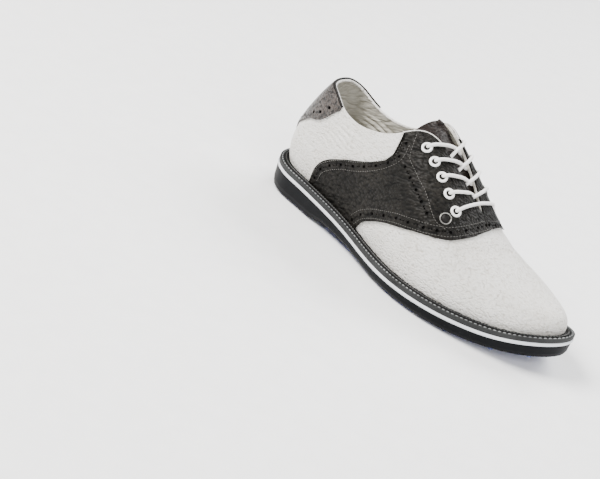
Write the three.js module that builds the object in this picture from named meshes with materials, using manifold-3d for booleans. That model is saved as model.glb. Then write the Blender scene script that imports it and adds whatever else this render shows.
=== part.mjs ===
// Saddle shoe with a spikeless studded sole, right foot, empty and standing on its sole.
// Millimetres, +Z up, toe along +X, inner (medial) side along +Y, floor at the stud tips.
// The sections below are worked out on a shoe axis that starts at the back of the heel,
// and the finished group is then moved so that its box stands centred on the origin.
import * as THREE from 'three';
import { mergeVertices } from 'three/addons/utils/BufferGeometryUtils.js';
import Module from 'manifold-3d';

const wasm = await Module();
wasm.setup();

// Driving sizes
const LENGTH = 304;
const BALL_WIDTH = 104;
const HEEL_WIDTH = 70;
const INSTEP_RISE = 105;
const TOE_RISE = 32;
const HEEL_STACK = 24.4;
const FORE_STACK = 13.9;
const TOE_SPRING = 15;
const ARCH_RISE = 3.6;
const STUD_HEIGHT = 2.4;

// Walls and layers
const CLEARANCE = 0.3;
const UPPER_WALL = 2.2;
const OVERLAY_WALL = 1.3;
const OVERLAY_GAP = 0.7;
const WELT_SHELF = 8;
const WELT_THICKNESS = 3.8;
const WELT_REACH_IN = 4;
const BEAD_WIDTH = 1.9;
const BEAD_HEIGHT = 1.2;
const MIDSOLE_THICKNESS = 2.4;
const MIDSOLE_PROUD = 0.5;
const OUTSOLE_TAPER = 1.6;
const OUTSOLE_BULGE_AT = 0.3;
const INSOLE_ABOVE_FOOT = 2.2;
const TREAD_RIM = 3.6;
const TREAD_DEPTH = 1.8;
const CLUSTER_SPREAD = 1.12;
const STUD_TWIST = 0.35;
const TONGUE_THICKNESS = 3;
const TONGUE_GAP = 1.1;
const BACK_STRIP_WIDTH = 17;
const PIPING_DIAMETER = 2.6;
const EYELET_DIAMETER = 9.2;
const EYELET_HOLE = 4;
const EYELET_THICKNESS = 1;
const LACE_DIAMETER = 3;

const OVERLAY_TOP = OVERLAY_GAP + OVERLAY_WALL;
const EYELET_SEAT = OVERLAY_TOP + CLEARANCE;

// Stations along the length, as shares of it
const THROAT_END = 0.642;
const BREAST = 0.262;

// How many columns, rows and sides the curved pieces have
const REAR_COLUMNS = 24;
const FRONT_COLUMNS = 15;
const WALL_ROWS = 8;
const OVERLAY_ROWS = 6;
const SOLE_COLUMNS = 30;
const TONGUE_COLUMNS = 10;
const TONGUE_ROWS = 12;
const PATCH_COLUMNS = 16;
const STRIP_COLUMNS = 4;
const PIPING_STEPS = 18;
const EYELET_SIDES = 10;
const LACE_STEPS = 7;
const CORD_SIDES = 8;

// A natural cubic curve through a short table; the first column is the station
function curve(stations, values) {
  const count = stations.length;
  const lower = new Array(count).fill(0);
  const main = new Array(count).fill(1);
  const upper = new Array(count).fill(0);
  const right = new Array(count).fill(0);
  for (let i = 1; i < count - 1; i++) {
    const before = stations[i] - stations[i - 1];
    const after = stations[i + 1] - stations[i];
    lower[i] = before;
    main[i] = 2 * (before + after);
    upper[i] = after;
    right[i] = 6 * ((values[i + 1] - values[i]) / after - (values[i] - values[i - 1]) / before);
  }
  for (let i = 1; i < count; i++) {
    const factor = lower[i] / main[i - 1];
    main[i] -= factor * upper[i - 1];
    right[i] -= factor * right[i - 1];
  }
  const bend = new Array(count).fill(0);
  for (let i = count - 2; i >= 0; i--) {
    bend[i] = (right[i] - upper[i] * bend[i + 1]) / main[i];
  }
  return (station) => {
    const at = THREE.MathUtils.clamp(station, stations[0], stations[count - 1]);
    let i = 0;
    while (i < count - 2 && at > stations[i + 1]) i++;
    const span = stations[i + 1] - stations[i];
    const a = (stations[i + 1] - at) / span;
    const b = 1 - a;
    const sag = ((a ** 3 - a) * bend[i] + (b ** 3 - b) * bend[i + 1]) * span * span / 6;
    return a * values[i] + b * values[i + 1] + sag;
  };
}

// Turns rows of [station, ...] into one curve for each named column
function sections(names, rows) {
  const stations = rows.map((row) => row[0]);
  const columns = {};
  names.forEach((name, i) => {
    columns[name] = curve(stations, rows.map((row) => row[i + 1]));
  });
  return columns;
}

// Sole outline: half widths either side of a middle line, as shares of the size each row follows
const OUTLINE_ROWS = [
  // station, follows, lateral, medial, middle
  [0.00, HEEL_WIDTH, 0.500, 0.500, 0],
  [0.12, HEEL_WIDTH, 0.493, 0.489, 0],
  [0.25, HEEL_WIDTH, 0.543, 0.457, 0],
  [0.38, BALL_WIDTH, 0.409, 0.274, 0],
  [0.50, BALL_WIDTH, 0.490, 0.317, 0],
  [0.61, BALL_WIDTH, 0.534, 0.415, 0],
  [0.71, BALL_WIDTH, 0.519, 0.481, 0.014],
  [0.82, BALL_WIDTH, 0.474, 0.490, 0.037],
  [0.92, BALL_WIDTH, 0.442, 0.438, 0.048],
  [1.00, BALL_WIDTH, 0.428, 0.394, 0.065],
];
const OUTLINE = sections(['lateral', 'medial', 'middle'],
  OUTLINE_ROWS.map(([at, size, ...shares]) => [at, ...shares.map((share) => share * size)]));
const HEEL_ROUND = { reach: 0.125, power: 2.15 };
const TOE_ROUND = { reach: 0.30, power: 2.1 };

// Height of the upper's foot over the tread: what it takes from heel stack, fore stack and toe spring
const FOOT = sections(['heel', 'fore', 'spring'], [
  [0.00, 1.000, 0.00, 0.00],
  [0.15, 0.905, 0.00, 0.00],
  [0.30, 0.620, 0.30, 0.00],
  [0.45, 0.150, 0.78, 0.00],
  [0.60, 0.000, 1.01, 0.00],
  [0.75, 0.000, 1.00, 0.12],
  [0.88, 0.000, 1.00, 0.44],
  [1.00, 0.000, 1.20, 1.02],
]);

// Ridge of the last over the upper's foot, and how far it lies to the inner side
const RIDGE_ROWS = [
  // station, follows, rise, middle
  [0.14, INSTEP_RISE, 0.905, 0],
  [0.25, INSTEP_RISE, 0.981, 0],
  [0.34, INSTEP_RISE, 1.005, 0.029],
  [0.42, INSTEP_RISE, 0.976, 0.095],
  [0.50, INSTEP_RISE, 0.871, 0.090],
  [0.58, INSTEP_RISE, 0.705, 0.059],
  [0.66, INSTEP_RISE, 0.510, 0.041],
  [0.74, TOE_RISE, 1.225, 0.156],
  [0.81, TOE_RISE, 1.000, 0.172],
  [0.87, TOE_RISE, 0.828, 0.194],
  [0.90, TOE_RISE, 0.738, 0.204],
];
const RIDGE = sections(['rise', 'middle'],
  RIDGE_ROWS.map(([at, size, rise, middle]) => [at, rise * size, middle * size]));
const RIBS_FAN = { rearEnd: 0.30, rear: 1.83, frontStart: 0.70, front: 1.42 };

// One rib of the wall from the foot to the ridge, as shares of the way across and up
const RIB_NAMES = ['out', 'low', 'inMiddle', 'middle', 'inTop'];
const RIBS = {
  lateral: sections(RIB_NAMES, [
    [0.00, 0.380, 0.30, 0.380, 0.62, 0.33],
    [0.12, 0.185, 0.30, 0.036, 0.62, 0.24],
    [0.25, 0.115, 0.30, 0.020, 0.62, 0.355],
    [0.42, 0.073, 0.32, 0.036, 0.74, 0.40],
    [0.60, 0.045, 0.38, 0.080, 0.84, 0.515],
    [0.80, 0.050, 0.42, 0.060, 0.92, 0.50],
    [1.00, 0.030, 0.45, 0.050, 0.95, 0.50],
  ]),
  medial: sections(RIB_NAMES, [
    [0.00, 0.380, 0.30, 0.380, 0.62, 0.33],
    [0.12, 0.200, 0.30, 0.025, 0.62, 0.25],
    [0.25, 0.250, 0.30, -0.050, 0.62, 0.335],
    [0.42, 0.450, 0.32, -0.220, 0.72, 0.29],
    [0.60, 0.120, 0.38, -0.010, 0.86, 0.41],
    [0.80, 0.060, 0.42, 0.040, 0.94, 0.50],
    [1.00, 0.030, 0.45, 0.050, 0.95, 0.50],
  ]),
};

// Top edge of the upper, as a share of each rib: round the collar, then along the open throat
const TOP_EDGE = sections(['lateral', 'medial'], [
  [0.000, 0.690, 0.690],
  [0.060, 0.665, 0.650],
  [0.120, 0.628, 0.596],
  [0.166, 0.566, 0.555],
  [0.205, 0.537, 0.536],
  [0.242, 0.527, 0.531],
  [0.280, 0.535, 0.539],
  [0.312, 0.553, 0.559],
  [0.338, 0.580, 0.589],
  [0.361, 0.620, 0.632],
  [0.383, 0.675, 0.705],
  [0.402, 0.730, 0.790],
  [0.430, 0.790, 0.890],
  [0.484, 0.841, 0.955],
  [0.560, 0.893, 0.970],
  [0.610, 0.945, 0.982],
  [THROAT_END, 1.000, 1.000],
]);

const SIDES = ['lateral', 'medial'];
const signOf = (side) => (side === 'medial' ? 1 : -1);
// Columns are close together at heel and toe: a turn of 0 is the heel, 1 the toe
const stationOf = (turn) => (1 - Math.cos(Math.PI * turn)) / 2;
const turnOf = (station) => Math.acos(1 - 2 * station) / Math.PI;

function rounded(share, { reach, power }) {
  const part = THREE.MathUtils.clamp(share / reach, 0, 1);
  return (1 - (1 - part) ** power) ** (1 / power);
}

function outlinePoint(side, turn) {
  const at = stationOf(turn);
  const ends = rounded(at, HEEL_ROUND) * rounded(1 - at, TOE_ROUND);
  const across = OUTLINE.middle(at) + signOf(side) * OUTLINE[side](at) * ends;
  return new THREE.Vector2(at * LENGTH, across);
}

// The sole outline moved outwards by a distance, or inwards where it is negative
function outline(side, turn, grow = 0) {
  const step = 1e-4;
  const sign = signOf(side);
  const point = outlinePoint(side, turn);
  if (grow === 0) return point;
  let along = new THREE.Vector2(0, sign);
  if (turn > 1 - 2 * step) along = new THREE.Vector2(0, -sign);
  else if (turn >= 2 * step) {
    along = outlinePoint(side, turn + step).sub(outlinePoint(side, turn - step)).normalize();
  }
  return point.add(new THREE.Vector2(-sign * along.y, sign * along.x).multiplyScalar(grow));
}

function footHeight(x) {
  const at = x / LENGTH;
  const height = FOOT.heel(at) * HEEL_STACK + FOOT.fore(at) * FORE_STACK + FOOT.spring(at) * TOE_SPRING;
  return STUD_HEIGHT + height;
}

function smoothStep(value, start, end) {
  return THREE.MathUtils.smoothstep(value, start, end);
}

// Underside of the outsole: flat heel, a breast, a low arch, a flat ball and the toe spring
const ARCH_STATIONS = { fullBy: 0.276, fallsFrom: 0.36, flatFrom: 0.52 };
const SPRING_START = 0.70;
const SPRING_POWER = 2.2;
function treadHeight(x, station = x / LENGTH) {
  const at = x / LENGTH;
  const rises = smoothStep(station, BREAST, ARCH_STATIONS.fullBy);
  const falls = smoothStep(station, ARCH_STATIONS.fallsFrom, ARCH_STATIONS.flatFrom);
  const spring = Math.max(0, (at - SPRING_START) / (1 - SPRING_START)) ** SPRING_POWER;
  return STUD_HEIGHT + ARCH_RISE * rises * (1 - falls) + TOE_SPRING * spring;
}

function ridgeStation(at) {
  const rear = RIBS_FAN.rear * Math.max(0, RIBS_FAN.rearEnd - at) ** 2;
  const front = RIBS_FAN.front * Math.max(0, at - RIBS_FAN.frontStart) ** 2;
  return at + rear - front;
}

function ridgePoint(station) {
  const x = station * LENGTH;
  return new THREE.Vector3(x, RIDGE.middle(station), footHeight(x) + RIDGE.rise(station));
}

// A point of the upper's outer face: side, turn along the length, share of the rib from foot to ridge
function lastPoint(side, turn, share) {
  const at = stationOf(turn);
  const foot = outline(side, turn, -WELT_SHELF);
  const footZ = footHeight(foot.x);
  const ridgeAt = ridgeStation(at);
  const ridge = ridgePoint(ridgeAt);
  const step = 1e-3;
  const slope = (ridgePoint(ridgeAt + step).z - ridgePoint(ridgeAt - step).z) / (2 * step * LENGTH);
  const rib = RIBS[side];
  const left = 1 - share;
  const weights = [4 * left ** 3 * share, 6 * left ** 2 * share ** 2, 4 * left * share ** 3, share ** 4];
  const inTop = rib.inTop(at);
  const across = -rib.out(at) * weights[0] + rib.inMiddle(at) * weights[1] + inTop * weights[2] + weights[3];
  const up = rib.low(at) * weights[0] + rib.middle(at) * weights[1] + weights[2] + weights[3];
  const topDrop = Math.min(0, slope) * (foot.x - ridge.x) * (1 - inTop);
  return new THREE.Vector3(
    foot.x + (ridge.x - foot.x) * across,
    foot.y + (ridge.y - foot.y) * across,
    footZ + (ridge.z - footZ) * up + topDrop * weights[2],
  );
}

function lastNormal(side, turn, share) {
  const step = 1e-4;
  const sign = signOf(side);
  let along;
  if (turn < 2 * step) along = new THREE.Vector3(0, sign, 0);
  else if (turn > 1 - 2 * step) along = new THREE.Vector3(0, -sign, 0);
  else along = lastPoint(side, turn + step, share).sub(lastPoint(side, turn - step, share));
  const top = Math.min(1, share + step);
  const bottom = Math.max(0, share - step);
  const up = lastPoint(side, turn, top).sub(lastPoint(side, turn, bottom));
  return along.cross(up).multiplyScalar(-sign).normalize();
}

// A point of the upper moved off its outer face, outwards where lift is positive. Both sides take
// one and the same point where they meet: at the heel, at the toe and along the ridge
function skinPoint(side, turn, share, lift = 0) {
  const from = turn === 0 || turn === 1 || share > 1 - 1e-9 ? 'lateral' : side;
  if (share === 0) {
    const foot = outline(from, turn, lift - WELT_SHELF);
    return new THREE.Vector3(foot.x, foot.y, footHeight(foot.x));
  }
  const point = lastPoint(from, turn, share);
  if (lift === 0) return point;
  return point.add(lastNormal(from, turn, share).multiplyScalar(lift));
}

const topEdgeShare = (side, at) => (at >= THROAT_END ? 1 : Math.min(1, TOP_EDGE[side](at)));

// Collects triangles and quads, and makes one closed geometry of them
class Faces {
  constructor() {
    this.positions = [];
  }

  triangle(a, b, c) {
    if (a.distanceTo(b) < 1e-5 || b.distanceTo(c) < 1e-5 || c.distanceTo(a) < 1e-5) return;
    for (const point of [a, b, c]) this.positions.push(point.x, point.y, point.z);
  }

  quad(a, b, c, d) {
    this.triangle(a, b, c);
    this.triangle(a, c, d);
  }

  // Joins two rows of equally many points, and closes the loop where asked
  band(low, high, closed = false) {
    const last = closed ? low.length : low.length - 1;
    for (let i = 0; i < last; i++) {
      const next = (i + 1) % low.length;
      this.quad(low[i], low[next], high[next], high[i]);
    }
  }

  geometry() {
    const geometry = new THREE.BufferGeometry();
    geometry.setAttribute('position', new THREE.Float32BufferAttribute(this.positions, 3));
    return outwards(mergeVertices(geometry, 1e-5));
  }
}

// A sheet with two faces and a rim: point(i, j, raised) gives its lower and its raised face
function sheet(columns, rows, point) {
  const faces = new Faces();
  const face = (raised) => Array.from({ length: columns + 1 }, (_, i) => (
    Array.from({ length: rows + 1 }, (_, j) => point(i, j, raised))));
  const [low, high] = [face(false), face(true)];
  for (let i = 0; i < columns; i++) {
    faces.band(high[i], high[i + 1]);
    faces.band(low[i + 1], low[i]);
    faces.quad(high[i][0], high[i + 1][0], low[i + 1][0], low[i][0]);
    faces.quad(low[i][rows], low[i + 1][rows], high[i + 1][rows], high[i][rows]);
  }
  faces.band(low[0], high[0]);
  faces.band(high[columns], low[columns]);
  return faces.geometry();
}

// Turns a closed body's faces outwards if its volume comes out negative
function outwards(geometry) {
  const position = geometry.attributes.position;
  const index = geometry.index.array;
  const points = [0, 1, 2].map(() => new THREE.Vector3());
  let volume = 0;
  for (let i = 0; i < index.length; i += 3) {
    points.forEach((point, k) => point.fromBufferAttribute(position, index[i + k]));
    volume += points[0].dot(points[1].clone().cross(points[2])) / 6;
  }
  if (volume < 0) {
    for (let i = 0; i < index.length; i += 3) {
      [index[i + 1], index[i + 2]] = [index[i + 2], index[i + 1]];
    }
  }
  return geometry;
}

function toSolid(geometry) {
  const bare = geometry.clone();
  bare.deleteAttribute('normal');
  bare.deleteAttribute('uv');
  const merged = mergeVertices(bare, 1e-5);
  return new wasm.Manifold(new wasm.Mesh({
    numProp: 3,
    vertProperties: new Float32Array(merged.attributes.position.array),
    triVerts: new Uint32Array(merged.index.array),
  }));
}

function toGeometry(solid) {
  const mesh = solid.getMesh();
  const geometry = new THREE.BufferGeometry();
  geometry.setAttribute('position', new THREE.Float32BufferAttribute(mesh.vertProperties, 3));
  geometry.setIndex(new THREE.Uint32BufferAttribute(mesh.triVerts, 1));
  return geometry;
}

const finishes = {
  whiteLeather: { color: 0xe3e1dd, roughness: 0.5 },
  darkLeather: { color: 0x2e2c28, roughness: 0.45 },
  pewterLeather: { color: 0x5b5450, roughness: 0.4 },
  pipingLeather: { color: 0x2f2c2a, roughness: 0.5 },
  weltRubber: { color: 0x55585a, roughness: 0.6 },
  whiteRubber: { color: 0xd9dce0, roughness: 0.5 },
  blackRubber: { color: 0x26282b, roughness: 0.55 },
  blueRubber: { color: 0x34407c, roughness: 0.3 },
  insoleFoam: { color: 0xc9c6bf, roughness: 0.8 },
  enamel: { color: 0xedebe8, roughness: 0.35 },
  laceCord: { color: 0xedebe8, roughness: 0.8 },
};

const shoe = new THREE.Group();

function add(name, geometry, finish) {
  const material = new THREE.MeshStandardMaterial({ ...finishes[finish], metalness: 0, side: THREE.FrontSide });
  const mesh = new THREE.Mesh(geometry, material);
  mesh.name = name;
  shoe.add(mesh);
  return mesh;
}

// Sole layers: rungs across the shoe from heel to toe. Near the breast of the heel the rungs
// slant, so that the heel reaches further forward on the inner side.
const BREAST_SLANT = 0.030;
const SLANT_REACH = 0.22;
function slantedStation(side, at) {
  const away = Math.min(1, Math.abs(at - BREAST) / SLANT_REACH);
  return at + signOf(side) * BREAST_SLANT * (1 - away ** 2) ** 2;
}

// One loop: grow moves it off the outline, height gives z from x and station,
// reach is the share of the width that it takes from the lateral edge, trim pulls in its open sides
function soleLoop({ grow = 0, height, from = 0, to = 1, reach = () => 1, trim = 0 }) {
  const start = turnOf(from);
  const span = turnOf(to) - start;
  const loop = { lateral: [], medial: [] };
  for (let i = 0; i <= SOLE_COLUMNS; i++) {
    const at = stationOf(start + span * i / SOLE_COLUMNS);
    const ends = (at < 1e-9 || at > 1 - 1e-9) ? ['medial', 'medial'] : SIDES;
    const [outer, inner] = ends.map((side) => {
      const own = slantedStation(side, at);
      return outline(side, at < 1e-9 ? 0 : at > 1 - 1e-9 ? 1 : turnOf(own), grow);
    });
    const taken = reach(at);
    if (taken < 1) {
      const across = inner.clone().sub(outer);
      inner.copy(outer).addScaledVector(across, taken - trim / across.length());
    }
    const pull = i === 0 && from > 0 ? trim : i === SOLE_COLUMNS && to < 1 ? -trim : 0;
    loop.lateral.push(new THREE.Vector3(outer.x + pull, outer.y, height(outer.x + pull, at)));
    loop.medial.push(new THREE.Vector3(inner.x + pull, inner.y, height(inner.x + pull, at)));
  }
  return loop;
}

function around(loop) {
  const back = loop.medial.slice().reverse();
  const closedAhead = loop.lateral.at(-1).distanceTo(back[0]) < 1e-4;
  const closedBehind = loop.lateral[0].distanceTo(back.at(-1)) < 1e-4;
  return [...loop.lateral, ...back.slice(closedAhead ? 1 : 0, closedBehind ? -1 : undefined)];
}

// A plate: its loops from the lowest up, with the lowest and highest closed
function plate(loops) {
  const faces = new Faces();
  for (let i = 0; i < loops.length - 1; i++) {
    faces.band(around(loops[i]), around(loops[i + 1]), true);
  }
  const [low, high] = [loops[0], loops.at(-1)];
  for (let i = 0; i < SOLE_COLUMNS; i++) {
    faces.quad(high.lateral[i], high.lateral[i + 1], high.medial[i + 1], high.medial[i]);
    faces.quad(low.medial[i + 1], low.lateral[i + 1], low.lateral[i], low.medial[i]);
  }
  return faces.geometry();
}

const under = (depth) => (x) => footHeight(x) - depth;
const weltTop = CLEARANCE;
const weltBottom = weltTop + WELT_THICKNESS;
const midsoleTop = weltBottom + CLEARANCE;
const midsoleBottom = midsoleTop + MIDSOLE_THICKNESS;
const outsoleTop = midsoleBottom + CLEARANCE;

function buildWelt() {
  const inside = WELT_SHELF + UPPER_WALL + WELT_REACH_IN;
  const beadInner = WELT_SHELF - OVERLAY_TOP - CLEARANCE;
  const beadOuter = beadInner - BEAD_WIDTH;
  const profile = [
    [0, weltTop],
    [beadOuter, weltTop],
    [beadOuter + BEAD_WIDTH * 0.25, weltTop - BEAD_HEIGHT],
    [beadOuter + BEAD_WIDTH * 0.75, weltTop - BEAD_HEIGHT],
    [beadInner, weltTop],
    [inside, weltTop],
    [inside, weltBottom],
    [0, weltBottom],
  ];
  const faces = new Faces();
  const loops = profile.map(([inset, depth]) => around(soleLoop({ grow: -inset, height: under(depth) })));
  loops.forEach((loop, i) => faces.band(loop, loops[(i + 1) % loops.length], true));
  return faces.geometry();
}

function buildMidsole() {
  return plate([
    soleLoop({ height: under(midsoleBottom) }),
    soleLoop({ grow: MIDSOLE_PROUD, height: under((midsoleTop + midsoleBottom) / 2) }),
    soleLoop({ height: under(midsoleTop) }),
  ]);
}

function outsoleBody() {
  const topEdge = under(outsoleTop);
  const bulge = (x, at) => THREE.MathUtils.lerp(treadHeight(x, at), topEdge(x), OUTSOLE_BULGE_AT);
  return plate([
    soleLoop({ grow: -OUTSOLE_TAPER, height: treadHeight }),
    soleLoop({ grow: -OUTSOLE_TAPER * 0.3, height: bulge }),
    soleLoop({ height: topEdge }),
  ]);
}

// The coloured tread pads: the front one leaves the inner waist to the shank
const SHANK_EDGE = curve([0.285, 0.34, 0.40, 0.46, 0.50], [0.44, 0.50, 0.66, 0.90, 1]);
const TREADS = {
  tread_heel: { from: 0, to: 0.252, reach: () => 1 },
  tread_forefoot: { from: 0.285, to: 1, reach: (at) => (at < 0.5 ? SHANK_EDGE(at) : 1) },
};

function treadPad({ from, to, reach }, rim, depth, drop, trim) {
  const lowest = (x, at) => treadHeight(x, at) - drop;
  const highest = (x, at) => treadHeight(x, at) + depth;
  const shared = { grow: -rim, from, to, reach, trim };
  return toSolid(plate([
    soleLoop({ ...shared, height: lowest }),
    soleLoop({ ...shared, height: highest }),
  ]));
}

// Clusters of four studs: station, share of the half width (inner side positive), stud width
const STUD_CLUSTERS = {
  tread_heel: [
    [0.075, -0.40, 7], [0.075, 0.40, 7], [0.175, -0.48, 7], [0.175, 0.48, 7],
  ],
  tread_forefoot: [
    [0.330, -0.62, 5], [0.400, -0.52, 5.5], [0.480, -0.56, 7.5], [0.485, 0.16, 5],
    [0.560, 0.50, 5.5], [0.575, -0.10, 5], [0.640, -0.70, 7], [0.665, 0.64, 6],
    [0.700, 0.05, 6], [0.742, -0.74, 6], [0.770, 0.62, 6], [0.800, 0.02, 6],
    [0.855, -0.66, 6], [0.865, 0.50, 6.5], [0.930, 0.30, 6], [0.932, -0.40, 6],
  ],
};

// A stud is a square frustum that runs up into its pad
function stud(x, y, width, turn, station) {
  const depth = STUD_HEIGHT + TREAD_DEPTH * 0.5;
  const shape = new THREE.CylinderGeometry(width * 0.5, width * 0.34, depth, 4);
  shape.rotateX(Math.PI / 2);
  shape.rotateZ(turn);
  shape.translate(x, y, treadHeight(x, station) - STUD_HEIGHT + depth / 2);
  return toSolid(shape);
}

function buildTread(name) {
  let solid = treadPad(TREADS[name], TREAD_RIM + CLEARANCE, TREAD_DEPTH - CLEARANCE, 0, CLEARANCE * 1.5);
  for (const [at, share, width] of STUD_CLUSTERS[name]) {
    const [lateral, medial] = SIDES.map((side) => outlinePoint(side, turnOf(at)).y);
    const y = THREE.MathUtils.lerp(lateral, medial, (share + 1) / 2);
    const spread = width * CLUSTER_SPREAD;
    for (let corner = 0; corner < 4; corner++) {
      const angle = Math.PI / 4 + corner * Math.PI / 2;
      const x = at * LENGTH + spread * Math.cos(angle);
      solid = solid.add(stud(x, y + spread * Math.sin(angle), width, angle + corner * STUD_TWIST, x / LENGTH));
    }
  }
  return toGeometry(solid);
}

function buildOutsole() {
  let solid = toSolid(outsoleBody());
  for (const pad of Object.values(TREADS)) {
    solid = solid.subtract(treadPad(pad, TREAD_RIM, TREAD_DEPTH, STUD_HEIGHT, 0));
  }
  return toGeometry(solid);
}

function buildInsole() {
  const wall = WELT_SHELF + UPPER_WALL + CLEARANCE;
  const inWelt = wall + WELT_REACH_IN;
  return plate([
    soleLoop({ grow: -inWelt, height: under(midsoleTop - CLEARANCE) }),
    soleLoop({ grow: -inWelt, height: under(0) }),
    soleLoop({ grow: -wall, height: under(0) }),
    soleLoop({ grow: -wall, height: under(-INSOLE_ABOVE_FOOT) }),
  ]);
}

// The hollow upper: columns from heel to toe, each with rows from its foot to its top edge
const wallTurns = () => {
  const throat = turnOf(THROAT_END);
  const turns = [];
  for (let i = 0; i <= REAR_COLUMNS; i++) turns.push(throat * i / REAR_COLUMNS);
  for (let i = 1; i <= FRONT_COLUMNS; i++) turns.push(throat + (1 - throat) * i / FRONT_COLUMNS);
  turns[turns.length - 1] = 1;
  return turns;
};

function buildUpper() {
  const faces = new Faces();
  const turns = wallTurns();
  for (const side of SIDES) {
    const grid = [0, -UPPER_WALL].map((lift) => turns.map((turn, i) => {
      const top = i >= REAR_COLUMNS ? 1 : topEdgeShare(side, stationOf(turn));
      const column = [];
      for (let row = 0; row <= WALL_ROWS; row++) {
        column.push(skinPoint(side, turn, top * row / WALL_ROWS, lift));
      }
      return column;
    }));
    const [outer, inner] = side === 'lateral' ? grid : [grid[1], grid[0]];
    for (let i = 0; i < turns.length - 1; i++) {
      faces.band(outer[i + 1], outer[i]);
      faces.band(inner[i], inner[i + 1]);
      faces.quad(outer[i][0], inner[i][0], inner[i + 1][0], outer[i + 1][0]);
      if (i < REAR_COLUMNS) {
        faces.quad(outer[i + 1][WALL_ROWS], inner[i + 1][WALL_ROWS], inner[i][WALL_ROWS], outer[i][WALL_ROWS]);
      }
    }
  }
  return faces.geometry();
}

// The tongue lies under both facings: its side edges as shares of the ribs, and how far it hangs
// below the inner facing, in millimetres, over its length
const TONGUE = { start: 0.69, top: 0.382, topFall: 0.020, topFallPower: 2 };
const TONGUE_EDGES = sections(['lateral', 'medial', 'hang'], [
  [0.38, 0.740, 0.800, 2.5],
  [0.43, 0.690, 0.760, 3.5],
  [0.50, 0.700, 0.780, 2.5],
  [0.58, 0.760, 0.800, 1.0],
  [0.69, 0.860, 0.860, 0.0],
]);

// Across runs from -1 at the lateral edge to 1 at the medial one
function tonguePoint(across, along, lift) {
  const top = TONGUE.top + TONGUE.topFall * Math.abs(across) ** TONGUE.topFallPower;
  const at = THREE.MathUtils.lerp(TONGUE.start, top, along);
  const side = across < 0 ? 'lateral' : 'medial';
  const share = THREE.MathUtils.lerp(1, TONGUE_EDGES[side](at), Math.abs(across));
  const hang = TONGUE_EDGES.hang(at) * smoothStep(across, -0.6, 0.6);
  return skinPoint(side, turnOf(at), share, lift - hang);
}

function buildTongue() {
  const outer = -(UPPER_WALL + TONGUE_GAP);
  return sheet(TONGUE_COLUMNS, TONGUE_ROWS, (i, j, raised) => {
    const lift = raised ? outer : outer - TONGUE_THICKNESS;
    return tonguePoint(2 * i / TONGUE_COLUMNS - 1, j / TONGUE_ROWS, lift);
  });
}

// The saddle: each row gives a place on its outer edge, which runs along the welt and then over the
// vamp, and on its inner edge, which runs up to the collar and then along the throat.
// Inner shares are taken from the top edge at that station.
const SADDLE_STRETCHES = [
  // columns, then rows of outer station, outer share, inner station, inner share
  [7, [
    [0.166, 0, 0.166, 0.03],
    [0.178, 0, 0.174, 0.25],
    [0.215, 0, 0.205, 0.44],
    [0.270, 0, 0.262, 0.585],
    [0.325, 0, 0.325, 0.665],
    [0.373, 0, 0.378, 0.695],
  ]],
  [4, [
    [0.373, 0, 0.378, 0.695],
    [0.388, 0.070, 0.392, 0.78],
    [0.410, 0.115, 0.388, 0.88],
    [0.440, 0.162, 0.380, 1],
  ]],
  [12, [
    [0.440, 0.162, 0.380, 1],
    [0.485, 0.216, 0.402, 1],
    [0.530, 0.267, 0.430, 1],
    [0.584, 0.351, 0.484, 1],
    [0.626, 0.443, 0.535, 1],
    [0.648, 0.515, 0.575, 1],
    [0.664, 0.601, 0.610, 1],
    [0.677, 0.756, 0.630, 1],
    [0.678, 0.878, 0.640, 1],
    [0.675, 1, THROAT_END, 1],
  ]],
];

// On the inner side the front edge lies a little further back between these shares of the rib
const MEDIAL_FRONT = { back: 0.013, from: 0.45, to: 1 };

// Pairs of outer and inner edge points of the saddle, from the back of the quarter to the ridge
function saddleColumns() {
  const pairs = [];
  for (const [columns, rows] of SADDLE_STRETCHES) {
    const edge = sections(['outerAt', 'outerShare', 'innerAt', 'innerShare'],
      rows.map((row, i) => [i, ...row]));
    for (let i = pairs.length ? 1 : 0; i <= columns; i++) {
      const along = (rows.length - 1) * i / columns;
      pairs.push([edge.outerAt(along), edge.outerShare(along), edge.innerAt(along), edge.innerShare(along)]);
    }
  }
  return pairs;
}

function buildSaddle() {
  const faces = new Faces();
  const pairs = saddleColumns();
  for (const side of SIDES) {
    const skin = (lift) => pairs.map(([frontAt, outerShare, innerAt, innerShare]) => {
      const { back, from, to } = MEDIAL_FRONT;
      const near = THREE.MathUtils.clamp((outerShare - from) / (to - from), 0, 1);
      const outerAt = frontAt - (side === 'medial' ? back * Math.sin(Math.PI * near) : 0);
      const top = innerShare * topEdgeShare(side, innerAt);
      const column = [];
      for (let row = 0; row <= OVERLAY_ROWS; row++) {
        const at = THREE.MathUtils.lerp(outerAt, innerAt, row / OVERLAY_ROWS);
        const share = THREE.MathUtils.lerp(outerShare, top, row / OVERLAY_ROWS);
        column.push(skinPoint(side, turnOf(at), share, lift));
      }
      return column;
    });
    const layers = [skin(OVERLAY_TOP), skin(OVERLAY_GAP)];
    const [upper, lower] = side === 'lateral' ? layers : layers.reverse();
    for (let i = 0; i < pairs.length - 1; i++) {
      faces.band(upper[i + 1], upper[i]);
      faces.band(lower[i], lower[i + 1]);
      faces.quad(upper[i][0], lower[i][0], lower[i + 1][0], upper[i + 1][0]);
      faces.quad(upper[i + 1][OVERLAY_ROWS], lower[i + 1][OVERLAY_ROWS], lower[i][OVERLAY_ROWS],
        upper[i][OVERLAY_ROWS]);
    }
    faces.band(upper[0], lower[0]);
  }
  return faces.geometry();
}

// The heel patch: its lower edge as shares of the top edge, from the back to its side tips
const PATCH_END = 0.164;
const PATCH_LOWER = curve([0, 0.018, 0.054, 0.088, 0.126, 0.137, 0.148, PATCH_END],
  [0.377, 0.400, 0.502, 0.588, 0.684, 0.753, 0.843, 0.960]);

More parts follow.
